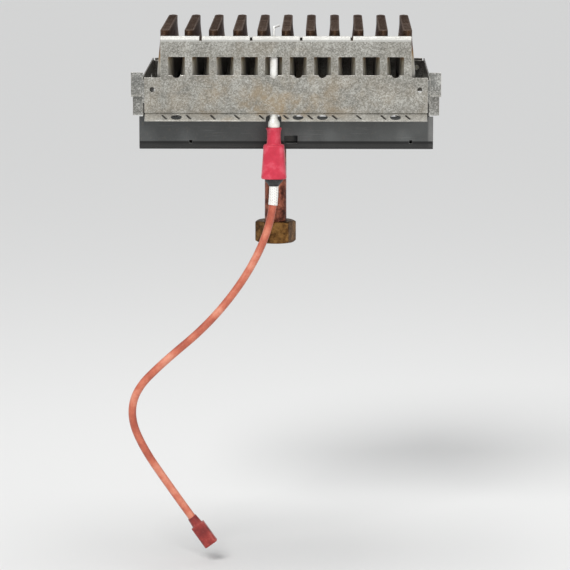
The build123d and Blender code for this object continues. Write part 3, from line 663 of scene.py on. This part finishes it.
def tube_along(name, points, rings, segments=32):
    """A closed tube. rings are (distance along the points, radius)."""
    work = bmesh.new()
    rows = []
    side = Vector((1, 0, 0))
    for distance, radius in rings:
        left = distance
        for a, b in zip(points, points[1:]):
            step = (b - a).length
            if left <= step:
                break
            left -= step
        line = (b - a).normalized()
        centre = a + line * left
        across = (side - line * side.dot(line)).normalized()
        up = line.cross(across)
        turns = [2 * pi * i / segments for i in range(segments)]
        rows.append([work.verts.new(centre + (across * cos(t) + up * sin(t)) * radius) for t in turns])
    grid_faces(work, rows, closed=True)
    bmesh.ops.recalc_face_normals(work, faces=work.faces)
    return finished(work, name)


def make_lead():
    line = wire("ignition_lead_line", LEAD_ROUTE, LEAD_R, LEAD_STEPS, LEAD_SIDES)
    lead = put_on("ignition_lead_line", line, "lead_silicone", "ignition_lead")

    # the sleeve: two rolled lips and a slightly slack wall, with the bore's ends turned in
    inner = LEAD_R + 0.03 * MM
    lip = 0.25 * MM
    rings = [(1.2 * MM, inner), (0.0, inner), (0.0, SLEEVE_R - lip), (lip, SLEEVE_R)]
    for i in range(1, 12):
        slack = 0.10 * MM * sin(i * 2.3) * sin(pi * i / 12)
        rings.append((SLEEVE_LENGTH * i / 12, SLEEVE_R - 0.08 * MM + slack))
    rings += [
        (SLEEVE_LENGTH - lip, SLEEVE_R),
        (SLEEVE_LENGTH, SLEEVE_R - lip),
        (SLEEVE_LENGTH, inner),
        (SLEEVE_LENGTH - 1.2 * MM, inner),
    ]
    tube = tube_along("sleeve", route_points(), rings)
    sleeve = add_piece("lead_sleeve_braid", tube, "sleeve_white", "lead_sleeve", sharp=50)
    plug = softened("lead_connector", 0.5 * MM, "connector_silicone", segments=3)
    terminal = softened("lead_terminal", 0.12 * MM, "injector_brass")


make_lead()


# -------- blades
PITCH = 20 * MM
BLADE_COUNT = 11
SEAM_HALF = 0.8 * MM
BLADE_FRONT = 9.5 * MM
BLADE_REAR = 186.5 * MM
BLADE_TOP = 48 * MM
WEB_LOW = -23 * MM           # lower edge of the crimped web ahead of the mixing tube
TUBE_Z = -37 * MM            # axis of the mixing tube
TUBE_LOW = -48 * MM
MOUTH_Y = 54 * MM
MOUTH_R = 8.8 * MM
THROAT_R = 5.4 * MM
RISER_Y = 150 * MM
HEAD_HALF = 6.6 * MM
HEAD_TOP_HALF = 3.8 * MM
LIP = 1.5 * MM               # crimped lip round the head's ends
NOSE = 7 * MM                # length over which the head rounds out
PORT_COUNT = 44
PORT_PITCH = 3.8 * MM
PORT_WIDE = 6.2 * MM
PORT_LONG = 1.3 * MM
PORT_DEEP = 0.7 * MM
FOLD_R = 0.6 * MM


def along(points, value):
    """Straight-line reading of (place, size) points."""
    if value <= points[0][0]:
        return points[0][1]
    for (a, low), (b, high) in zip(points, points[1:]):
        if value <= b:
            return low + (high - low) * (value - a) / (b - a)
    return points[-1][1]


def soft_max(*values, power=9.0):
    return sum(max(v, 0.0) ** power for v in values) ** (1 / power)


def smooth(t):
    t = min(max(t, 0.0), 1.0)
    return t * t * (3 - 2 * t)


def rounded(t):
    """0 to 1 along a quarter circle."""
    t = min(max(t, 0.0), 1.0)
    return sqrt(1 - (1 - t) ** 2)


def nose(y):
    return rounded((y - BLADE_FRONT - LIP) / NOSE) * rounded((BLADE_REAR - LIP - y) / NOSE)


def head_half(y, z):
    """How far the burner head stands out from the seam."""
    swell = (HEAD_HALF - SEAM_HALF) * smooth((z + 9 * MM) / (13 * MM))
    taper = along([(11 * MM, HEAD_HALF), (27 * MM, 5.2 * MM), (40 * MM, HEAD_TOP_HALF)], z) - SEAM_HALF
    return min(swell, taper) * nose(y)


def tube_radius(y):
    mouth = MOUTH_R - (MOUTH_R - THROAT_R) * rounded((y - MOUTH_Y) / (16 * MM))
    diffuser = THROAT_R + 1.8 * MM * smooth((y - MOUTH_Y - 36 * MM) / (60 * MM))
    return mouth if y < MOUTH_Y + 30 * MM else diffuser


def tube_half(y, z):
    if y < MOUTH_Y:
        return 0.0
    return sqrt(max(tube_radius(y) ** 2 - (z - TUBE_Z) ** 2, 0.0))


def riser_half(y, z):
    """The chamber at the rear that carries the mixture up into the head."""
    ahead = rounded((y - RISER_Y) / (6 * MM))
    behind = rounded((BLADE_REAR - LIP - y) / (6 * MM))
    sill = TUBE_Z - 8.5 * MM + max(0.0, y - (BLADE_REAR - 18 * MM))
    under = rounded((z - sill) / (5 * MM))
    over = 1 - smooth((z - 2 * MM) / (8 * MM))
    return (HEAD_HALF - SEAM_HALF) * ahead * behind * under * over


def blade_half(y, z):
    """Half the blade's thickness at a point of its side."""
    out = soft_max(head_half(y, z), tube_half(y, z) - SEAM_HALF, riser_half(y, z))
    fold = FOLD_R * (1 - rounded((BLADE_TOP - z) / FOLD_R)) if z > BLADE_TOP - FOLD_R else 0.0
    return SEAM_HALF + max(out - fold, 0.0)


def blade_low(y):
    """The blade's lower edge behind its mouth."""
    corner = BLADE_REAR - 17 * MM
    return TUBE_LOW + max(0.0, y - corner) * (19 / 17)


def blade_stations():
    """Places along the blade, closer together where its shape turns."""
    ends = spread(0, LIP + NOSE, 9)
    front = [BLADE_FRONT + d for d in ends] + spread(22 * MM, 50 * MM, 6)
    mouth = spread(MOUTH_Y, MOUTH_Y + 16 * MM, 9) + spread(MOUTH_Y + 22 * MM, RISER_Y - 3 * MM, 12)
    riser = spread(RISER_Y, RISER_Y + 6 * MM, 5)
    riser += spread(RISER_Y + 11 * MM, BLADE_REAR - LIP - NOSE - 3 * MM, 4)
    return front + mouth + riser + [BLADE_REAR - d for d in reversed(ends)]


def head_levels():
    folds = [BLADE_TOP - FOLD_R * d for d in (1.0, 0.6, 0.3, 0.1, 0.0)]
    return spread(WEB_LOW, -10 * MM, 4) + spread(-8 * MM, 6 * MM, 9) + spread(9 * MM, 45 * MM, 10) + folds


def tube_levels(y):
    """Heights down the mixing tube's side at y, closest where the tube rises from the web."""
    r = tube_radius(y)
    low = blade_low(y)
    turns = [-cos(pi * i / 14) for i in range(15)]
    levels = [TUBE_Z + r * t for t in turns]
    levels = [low, (low + levels[0]) / 2] + levels + [(levels[-1] + WEB_LOW) / 2]
    return [max(z, low) for z in levels]


def blade_side(work, x, side):
    """One pressed half of the blade, from its ported fold to its lower edge."""
    stations = blade_stations()
    top = head_levels()
    upper = [[work.verts.new((x + side * blade_half(y, z), y, z)) for z in top] for y in stations]
    grid_faces(work, upper)
    lower = []
    for y, column in zip(stations, upper):
        if y >= MOUTH_Y - 1e-9:
            low = [work.verts.new((x + side * blade_half(y, z), y, z)) for z in tube_levels(y)]
            lower.append(low + [column[0]])
    grid_faces(work, lower)
    return upper, lower


def blade_top(work, x):
    """The flat fold along the top, with its row of cross slots."""
    first = (BLADE_FRONT + BLADE_REAR) / 2 - PORT_PITCH * (PORT_COUNT - 1) / 2
    flat = HEAD_TOP_HALF - FOLD_R

    def quad(points):
        work.faces.new([work.verts.new(p) for p in points])

    def strip(lo, hi, y0, y1):
        quad([(x + dx, y, BLADE_TOP) for dx, y in ((lo, y0), (hi, y0), (hi, y1), (lo, y1))])

    at = BLADE_FRONT + LIP + NOSE
    for i in range(PORT_COUNT):
        y0 = first + PORT_PITCH * i - PORT_LONG / 2
        y1 = y0 + PORT_LONG
        wide = min(PORT_WIDE / 2, flat - 0.05 * MM, blade_half((y0 + y1) / 2, BLADE_TOP) - 0.6 * MM)
        if y0 < at:
            continue
        if y1 > BLADE_REAR - LIP - NOSE:
            break
        strip(-flat, flat, at, y0)
        for side in (-1, 1):
            strip(*sorted((side * wide, side * flat)), y0, y1)
        ring = [(-wide, y0), (wide, y0), (wide, y1), (-wide, y1)]
        for (xa, ya), (xb, yb) in zip(ring, ring[1:] + ring[:1]):
            quad([
                (x + xa, ya, BLADE_TOP), (x + xb, yb, BLADE_TOP),
                (x + xb, yb, BLADE_TOP - PORT_DEEP), (x + xa, ya, BLADE_TOP - PORT_DEEP),
            ])
        at = y1
    strip(-flat, flat, at, BLADE_REAR - LIP - NOSE)


def blade_tab(work, x):
    """The front tab: a tongue under the ledge, and its end twisted across the slot in the ledge."""
    slope = radians(25)
    foot = Vector((x, 2 * MM - 6.3 * MM * cos(slope), -20.2 * MM - 6.3 * MM * sin(slope)))
    out = Vector((0, -sin(slope), cos(slope)))
    down = Vector((0, -cos(slope), -sin(slope)))
    side = Vector((1, 0, 0))
    turns = [(-2.5, -90), (-1.6, -86), (-0.8, -76), (0.0, -64), (0.8, -58), (1.4, -58)]
    rows = []
    for rise, angle in turns:
        t = radians(angle)
        run = side * cos(t) - down * sin(t)
        across = side * sin(t) + down * cos(t)
        half = 3.3 * MM if rise < 1.4 else 2.9 * MM
        centre = foot + out * (rise * MM)
        rows.append([
            work.verts.new(centre + run * (a * half) + across * (b * 0.4 * MM))
            for a, b in ((-1, -1), (1, -1), (1, 1), (-1, 1))
        ])
    grid_faces(work, rows, closed=True)
    work.faces.new(rows[-1])
    work.faces.new(list(reversed(rows[0])))
    box(work, (x - 0.4 * MM, -5.0 * MM, -26.2 * MM), (x + 0.4 * MM, 14 * MM, -24.5 * MM))
    box(work, (x - SEAM_HALF, BLADE_FRONT, -27.5 * MM), (x + SEAM_HALF, 14 * MM, WEB_LOW))
    box(work, (x - SEAM_HALF, BLADE_REAR - 1 * MM, 19.5 * MM), (x + SEAM_HALF, 191.2 * MM, 24.5 * MM))


def box(work, low, high, chamfer=0.15 * MM):
    """A small block with its edges broken."""
    made = bmesh.ops.create_cube(work, size=1.0)["verts"]
    size = Vector(high) - Vector(low)
    middle = (Vector(high) + Vector(low)) / 2
    for v in made:
        v.co = Vector(v.co[i] * size[i] + middle[i] for i in range(3))
    edges = list({e for v in made for e in v.link_edges})
    bmesh.ops.bevel(work, geom=edges, offset=chamfer, segments=1, affect="EDGES")


def blade_mesh(x):
    work = bmesh.new()
    (left, left_low), (right, right_low) = [blade_side(work, x, side) for side in (-1, 1)]
    # rims that close the two halves' crimped edges
    rims = [
        (left[0], right[0]),
        (left[-1], right[-1]),
        ([c[0] for c in left if c[0].co.y <= MOUTH_Y], [c[0] for c in right if c[0].co.y <= MOUTH_Y]),
        ([c[0] for c in left_low], [c[0] for c in right_low]),
        (left_low[-1], right_low[-1]),
    ]
    for a, b in rims:
        grid_faces(work, [a, b])
    # the ends of the fold, where it narrows to the crimped lips
    for part in (slice(0, 9), slice(-9, None)):
        grid_faces(work, [[c[-1] for c in left[part]], [c[-1] for c in right[part]]])
    # the mouth's rolled rim, turned inward, and the tube's inner wall behind it
    previous = (left_low[0], right_low[0])
    for depth, shrink in ((0.4 * MM, 0.7 * MM), (3 * MM, 1.6 * MM), (9 * MM, 3.0 * MM), (18 * MM, 4.0 * MM)):
        ring = []
        for column, side in zip(previous, (-1, 1)):
            row = []
            for v in column:
                wide = max(side * (v.co.x - x), 0.0)
                radial = Vector((side * wide, 0, v.co.z - TUBE_Z))
                if radial.length > MOUTH_R + 0.1 * MM:
                    row.append(v)
                    continue
                inner = radial.normalized() * (MOUTH_R - shrink)
                row.append(work.verts.new((x + inner.x, MOUTH_Y + depth, TUBE_Z + inner.z)))
            ring.append(row)
        for before, after in zip(previous, ring):
            for i in range(len(before) - 1):
                quad = [before[i], before[i + 1], after[i + 1], after[i]]
                corners = [v for k, v in enumerate(quad) if v not in quad[:k]]
                if len(corners) > 2:
                    work.faces.new(corners)
        previous = ring
    blade_top(work, x)
    bmesh.ops.remove_doubles(work, verts=work.verts, dist=SAME_POINT)
    bmesh.ops.recalc_face_normals(work, faces=work.faces)
    blade_tab(work, x)
    return finished(work, "blade")


def make_blades():
    for number in range(1, BLADE_COUNT + 1):
        x = (number - (BLADE_COUNT + 1) / 2) * PITCH
        node = f"burner_blade_{number:02d}"
        add_piece(node + "_pressed", blade_mesh(x), "blade_steel", node, sharp=40)


make_blades()


# -------- sheet metal and turned pieces
INJECTORS = [f"injector_{number:02d}" for number in range(1, BLADE_COUNT + 1)]
# width of the broken edges in mm, slot, material of the broken edges, nodes
SOFTENED = [
    (0.22, "panel_sheet", SHEET_EDGE_HIGHLIGHT, ["front_panel", "front_rail", "rear_panel"]),
    (0.18, "side_sheet", SHEET_EDGE_HIGHLIGHT, ["side_plate_left", "side_plate_right"]),
    (0.18, "side_sheet", SHEET_EDGE_HIGHLIGHT, ["manifold_bracket_left", "manifold_bracket_right"]),
    (0.22, "apron_sheet", DARK_EDGE_HIGHLIGHT, ["lower_apron"]),
    (0.14, "panel_sheet", SHEET_EDGE_HIGHLIGHT, ["electrode_bracket"]),
    (0.08, "pin_steel", None, ["electrode_flange"]),
    (0.12, "washer_aluminium", None, ["injector_washers"]),
    (0.25, "manifold_steel", None, ["gas_manifold", "manifold_end_cap_left", "manifold_end_cap_right"]),
    (0.12, "screw_zinc", None, ["rear_panel_screws", "manifold_screws", "electrode_screw"]),
    (0.18, "injector_brass", None, INJECTORS),
    (0.20, "pin_steel", None, ["electrode_terminal"]),
]
for width, slot, edge, nodes in SOFTENED:
    for node in nodes:
        softened(node, width * MM, slot, edge=edge)


# -------- gas inlet: pipe, collar, gasket and nut
PIPE_AT = (-9 * MM, 32 * MM)
PIPE_R = 9 * MM
PIPE_BORE = 8 * MM
TUBE_UNDER = -47 * MM
COLLAR_R = 11.6 * MM
COLLAR_TOP = -115.8 * MM
COLLAR_LOW = -119.8 * MM
GASKET_LOW = -121.3 * MM
NUT_LOW = -130 * MM
NUT_TOP = -112 * MM
NUT_FLAT = 15 * MM           # from its axis to a flat
NUT_CORNER = 17.05 * MM
NUT_CHAMFER = 1.8 * MM
NUT_TURN = radians(-22)
THREAD_MINOR = 12.06 * MM
THREAD_DEEP = 0.58 * MM
THREAD_PITCH = 25.4 / 14 * MM
THREAD_TOP = -122 * MM
NUT_BORE = 9.3 * MM


def dented(radius):
    """A drawn pipe's radius: it isn't quite round."""
    return lambda z, angle: radius + 0.06 * MM * sin(2 * angle + z * 40) * sin(z * 95)


def make_inlet():
    fillet = arc((PIPE_R + 2.2 * MM, TUBE_UNDER - 2.6 * MM), 2.2 * MM, 90, 180, 6)
    braze = [(r, z + 0.4 * MM) for r, z in fillet]
    wall = [(PIPE_R, z) for z in spread(braze[-1][1], COLLAR_TOP + 1.6 * MM, 14)]
    skirt = [(PIPE_R + 0.5 * MM, COLLAR_TOP + 0.5 * MM), (PIPE_R + 1.4 * MM, COLLAR_TOP)]
    profile = [(PIPE_BORE, TUBE_UNDER)] + braze + wall[1:] + skirt
    profile += [(PIPE_R, COLLAR_TOP), (PIPE_R, COLLAR_LOW), (PIPE_BORE, COLLAR_LOW), (PIPE_BORE, TUBE_UNDER)]
    pipe = lathe_mesh("pipe", [(dented(r), z) for r, z in profile], PIPE_AT)
    add_piece("gas_inlet_pipe_drawn", pipe, "pipe_copper", "gas_inlet_pipe", sharp=40)

    ease = 0.5 * MM
    collar = [(PIPE_R, COLLAR_LOW), (COLLAR_R - ease, COLLAR_LOW)]
    collar += arc((COLLAR_R - ease, COLLAR_LOW + ease), ease, -90, 0)
    collar += arc((COLLAR_R - ease, COLLAR_TOP - ease), ease, 0, 90)
    collar += [(PIPE_R, COLLAR_TOP), (PIPE_R, COLLAR_LOW)]
    mesh = lathe_mesh("collar", collar, PIPE_AT)
    add_piece("pipe_collar_turned", mesh, "pipe_copper", "pipe_collar", sharp=40)

    ease = 0.3 * MM
    ring = [(PIPE_BORE, GASKET_LOW), (COLLAR_R - ease, GASKET_LOW)]
    ring += arc((COLLAR_R - ease, GASKET_LOW + ease), ease, -90, 0, 3)
    ring += [(COLLAR_R, COLLAR_LOW), (PIPE_BORE, COLLAR_LOW), (PIPE_BORE, GASKET_LOW)]
    mesh = lathe_mesh("gasket", ring, PIPE_AT)
    add_piece("union_gasket_ring", mesh, "gasket_fibre", "union_gasket", sharp=40)


def nut_outside(z, angle):
    """A hexagon whose corners are turned off at both ends."""
    turn = (angle - NUT_TURN + pi / 6) % (pi / 3) - pi / 6
    end = min(z - NUT_LOW, NUT_TOP - z)
    cone = NUT_FLAT + 3 * MM * end / NUT_CHAMFER
    ease = 0.25 * MM * (1 - min(end / (0.5 * MM), 1.0)) ** 2
    return min(NUT_FLAT / cos(turn), NUT_CORNER, cone) - ease


def nut_thread(z, angle):
    turn = ((z - NUT_LOW) / THREAD_PITCH - angle / (2 * pi)) % 1.0
    return THREAD_MINOR + THREAD_DEEP * (1 - abs(2 * turn - 1))


def make_nut():
    """The nut, with a cut thread in its lower end, turned from its upper inner edge out and round."""
    ends = [0.0, 0.15 * MM, 0.4 * MM, 0.8 * MM, 1.2 * MM, NUT_CHAMFER]
    ease = 0.3 * MM
    relief = THREAD_MINOR + THREAD_DEEP + 0.02 * MM
    shoulder = NUT_TOP - 3.5 * MM
    profile = [(NUT_BORE + ease, NUT_TOP)]
    profile += [(nut_outside, NUT_TOP - drop) for drop in ends]
    profile += [(nut_outside, NUT_LOW + rise) for rise in reversed(ends)]
    profile.append((THREAD_MINOR + THREAD_DEEP + ease, NUT_LOW))
    profile += [(nut_thread, z) for z in spread(NUT_LOW + 0.5 * MM, THREAD_TOP, 32)]
    profile += [(relief, THREAD_TOP + ease), (relief, shoulder)]
    profile += [(NUT_BORE, shoulder), (NUT_BORE, NUT_TOP - ease)]
    mesh = lathe_mesh("nut", profile + profile[:1], PIPE_AT, segments=96)
    add_piece("union_nut_cut", mesh, "nut_brass", "union_nut", body="union_nut", sharp=24)


make_inlet()
make_nut()


# -------- electrode: ceramic, pin, boot and grommet
ELECTRODE_AT = (-10 * MM, 5.7 * MM)
CERAMIC_R = 3.2 * MM
PIN_R = 1 * MM
CERAMIC_TOP = 26.5 * MM
CERAMIC_LOW = -38 * MM
SWELL_TOP = -23.5 * MM       # where it starts to widen into its bell
BELL_R = 4.9 * MM
BELL_TOP = -28.5 * MM
BELL_LOW = -31.5 * MM
BOOT_TOP = -31.5 * MM
BOOT_SHOULDER = -45.5 * MM
BOOT_LOW = -74 * MM
LEAD_TOP = -80 * MM


def make_ceramic():
    ease = 0.6 * MM
    profile = [(PIN_R, CERAMIC_TOP)] + arc((CERAMIC_R - 1.4 * MM, CERAMIC_TOP - 1.4 * MM), 1.4 * MM, 90, 0, 6)
    profile += [(CERAMIC_R, z) for z in spread(CERAMIC_TOP - 5 * MM, -22 * MM, 6)]
    # the bell's shoulder is an S curve
    for t in spread(0, 1, 8):
        swell = (BELL_R - CERAMIC_R) * smooth(t)
        profile.append((CERAMIC_R + swell, SWELL_TOP + (BELL_TOP - SWELL_TOP) * t))
    profile += arc((BELL_R - ease, BELL_LOW + ease), ease, 0, -90, 4)
    profile += [(3.4 * MM, BELL_LOW), (3.4 * MM, CERAMIC_LOW + ease)]
    profile += [(3.0 * MM, CERAMIC_LOW), (PIN_R, CERAMIC_LOW)]
    profile.append(profile[0])
    mesh = lathe_mesh("ceramic", profile, ELECTRODE_AT, segments=40)
    add_piece("electrode_ceramic_fired", mesh, "ceramic_white", "electrode_ceramic", sharp=45)


def make_pin():
    """A straight wire whose top is bent over towards the blade."""
    x, y = ELECTRODE_AT
    bends = [(0, 0, -46), (0, 0, 30), (0, 0, 48.6), (0, 0, 50.9), (0.7, 1.2, 51.2), (4.2, 7, 52)]
    places = [(x + dx * MM, y + dy * MM, z * MM) for dx, dy, z in bends]
    line = wire("electrode_pin_wire", places, PIN_R, steps=12, sides=4)
    put_on("electrode_pin_wire", line, "pin_steel", "electrode_pin")


def make_boot():
    """Moulded in two halves: a round neck with a rim, a square shoulder and a flared skirt."""
    neck, bore, mouth = 5.7, 3.45, 6.6
    # drop below the datum and radius in mm, or else drop, half width, half depth and squareness
    rings = {
        BOOT_TOP: [
            (3.0, bore), (0.2, bore), (0.0, bore + 0.3), (0.0, 5.9), (0.35, 6.25), (1.2, 6.3), (2.1, 6.2),
            (2.7, neck + 0.1), (4.5, neck - 0.15), (8.0, neck - 0.2), (11.5, neck),
        ],
        BOOT_SHOULDER: [
            (-0.9, neck + 0.1), (-0.15, neck + 0.35, neck + 0.3, 2.1),
            (0.1, 7.0, 6.3, 2.6), (0.3, 8.0, 7.0, 3.0), (0.9, 8.5, 7.4, 3.3), (2.0, 8.65, 7.5, 3.4),
            (6.0, 8.85, 7.6, 3.4), (13.0, 9.3, 7.85, 3.5), (20.0, 9.85, 8.15, 3.5),
        ],
        BOOT_LOW: [
            (-2.4, 10.3, 8.4, 3.5), (-1.6, 10.5, 8.5, 3.5), (-0.5, 10.45, 8.45, 3.4),
            (0.0, 10.0, 8.1, 3.3), (0.0, 7.2, 7.0, 2.2), (-0.3, mouth), (-9.0, mouth),
        ],
    }

    def moulded(wide, deep=None, square=2.0):
        """The radius of one ring, with the mould's parting line standing out down both sides."""
        deep = deep or wide

        def radius(z, angle):
            c, s = cos(angle), sin(angle)
            reach = (abs(c / wide) ** square + abs(s / deep) ** square) ** (-1 / square)
            parting = abs(s) < 1e-6 and wide > neck - 0.3 and z > BOOT_LOW
            return (reach + (0.13 if parting else 0.0)) * MM

        return radius

    profile = [(moulded(*size), datum - drop * MM) for datum, rows in rings.items() for drop, *size in rows]
    mesh = lathe_mesh("boot", profile, ELECTRODE_AT, segments=64)
    boot = add_piece("electrode_boot_moulded", mesh, "boot_silicone", "electrode_boot")
    finer = boot.modifiers.new("smooth", "SUBSURF")
    finer.levels = 1
    finer.render_levels = 1


def make_grommet():
    ease = 0.5 * MM
    profile = [(1.0 * MM, -64 * MM), (6.5 * MM, -64 * MM), (6.5 * MM, BOOT_LOW)]
    profile += arc((7.75 * MM - ease, BOOT_LOW - ease), ease, 60, -30, 4)
    for radius, drop in ((7.2, 2.2), (6.6, 2.9), (5.9, 3.6), (5.0, 4.6), (4.5, 5.4)):
        profile.append((radius * MM, BOOT_LOW - drop * MM))
    profile += arc((4.1 * MM, LEAD_TOP + 0.4 * MM), 0.4 * MM, 0, -90, 3) + [(LEAD_R, LEAD_TOP)]
    mesh = lathe_mesh("grommet", profile, ELECTRODE_AT, segments=40)
    add_piece("boot_grommet_moulded", mesh, "grommet_rubber", "boot_grommet", sharp=45)


make_ceramic()
make_pin()
make_boot()
make_grommet()


# -------- studio
FLOOR_LEVEL = cad_box[0][2] - 12 * MM
FLOOR_RADIUS = 9.0

# kind, name, at, look at, energy, an area's width in metres or the sun's angle in degrees
LAMPS = [
    ("SUN", "key", (-0.55, -1.5, 1.5), (0, 0, 0), 1.9, 24),
    ("AREA", "fill", (1.3, -1.6, 0.3), (0, 0, -0.1), 8, 1.0),
    ("AREA", "top", (0.0, 0.3, 1.2), (0, 0.05, 0), 7, 0.7),
]
SKY = (0.97, 0.98, 1.0, 1)
SKY_STRENGTH = 0.45
PAPER = (0.78, 0.78, 0.77, 1)
PAPER_ROUGHNESS = 0.85


def lamp(kind, name, at, look, energy, size):
    data = bpy.data.lights.new(name, kind)
    data.energy = energy
    if kind == "SUN":
        data.angle = radians(size)
    else:
        data.size = size
    aim(new_object(name, data), at, look)


def paper_look():
    """Plain pale paper, which isn't there for a camera below it."""
    paper = bpy.data.materials.new("paper")
    paper.use_nodes = True
    nodes, links = paper.node_tree.nodes, paper.node_tree.links
    shader = nodes["Principled BSDF"]
    shader.inputs["Base Color"].default_value = PAPER
    shader.inputs["Roughness"].default_value = PAPER_ROUGHNESS
    below = nodes.new("ShaderNodeNewGeometry").outputs["Backfacing"]
    mixed = nodes.new("ShaderNodeMixShader")
    links.new(below, mixed.inputs[0])
    links.new(shader.outputs[0], mixed.inputs[1])
    links.new(nodes.new("ShaderNodeBsdfTransparent").outputs[0], mixed.inputs[2])
    links.new(mixed.outputs[0], nodes["Material Output"].inputs["Surface"])
    return paper


def make_studio():
    for row in LAMPS:
        lamp(*row)

    world = bpy.data.worlds.new("studio")
    world.use_nodes = True
    sky = world.node_tree.nodes["Background"]
    sky.inputs["Color"].default_value = SKY
    sky.inputs["Strength"].default_value = SKY_STRENGTH
    SCENE.world = world

    work = bmesh.new()
    bmesh.ops.create_circle(work, cap_ends=True, segments=64, radius=FLOOR_RADIUS)
    for v in work.verts:
        v.co.z = FLOOR_LEVEL
    bmesh.ops.recalc_face_normals(work, faces=work.faces)
    for face in work.faces:
        if face.normal.z < 0:
            face.normal_flip()
    mesh = finished(work, "floor")
    mesh.materials.append(paper_look())
    new_object("floor", mesh)


make_studio()
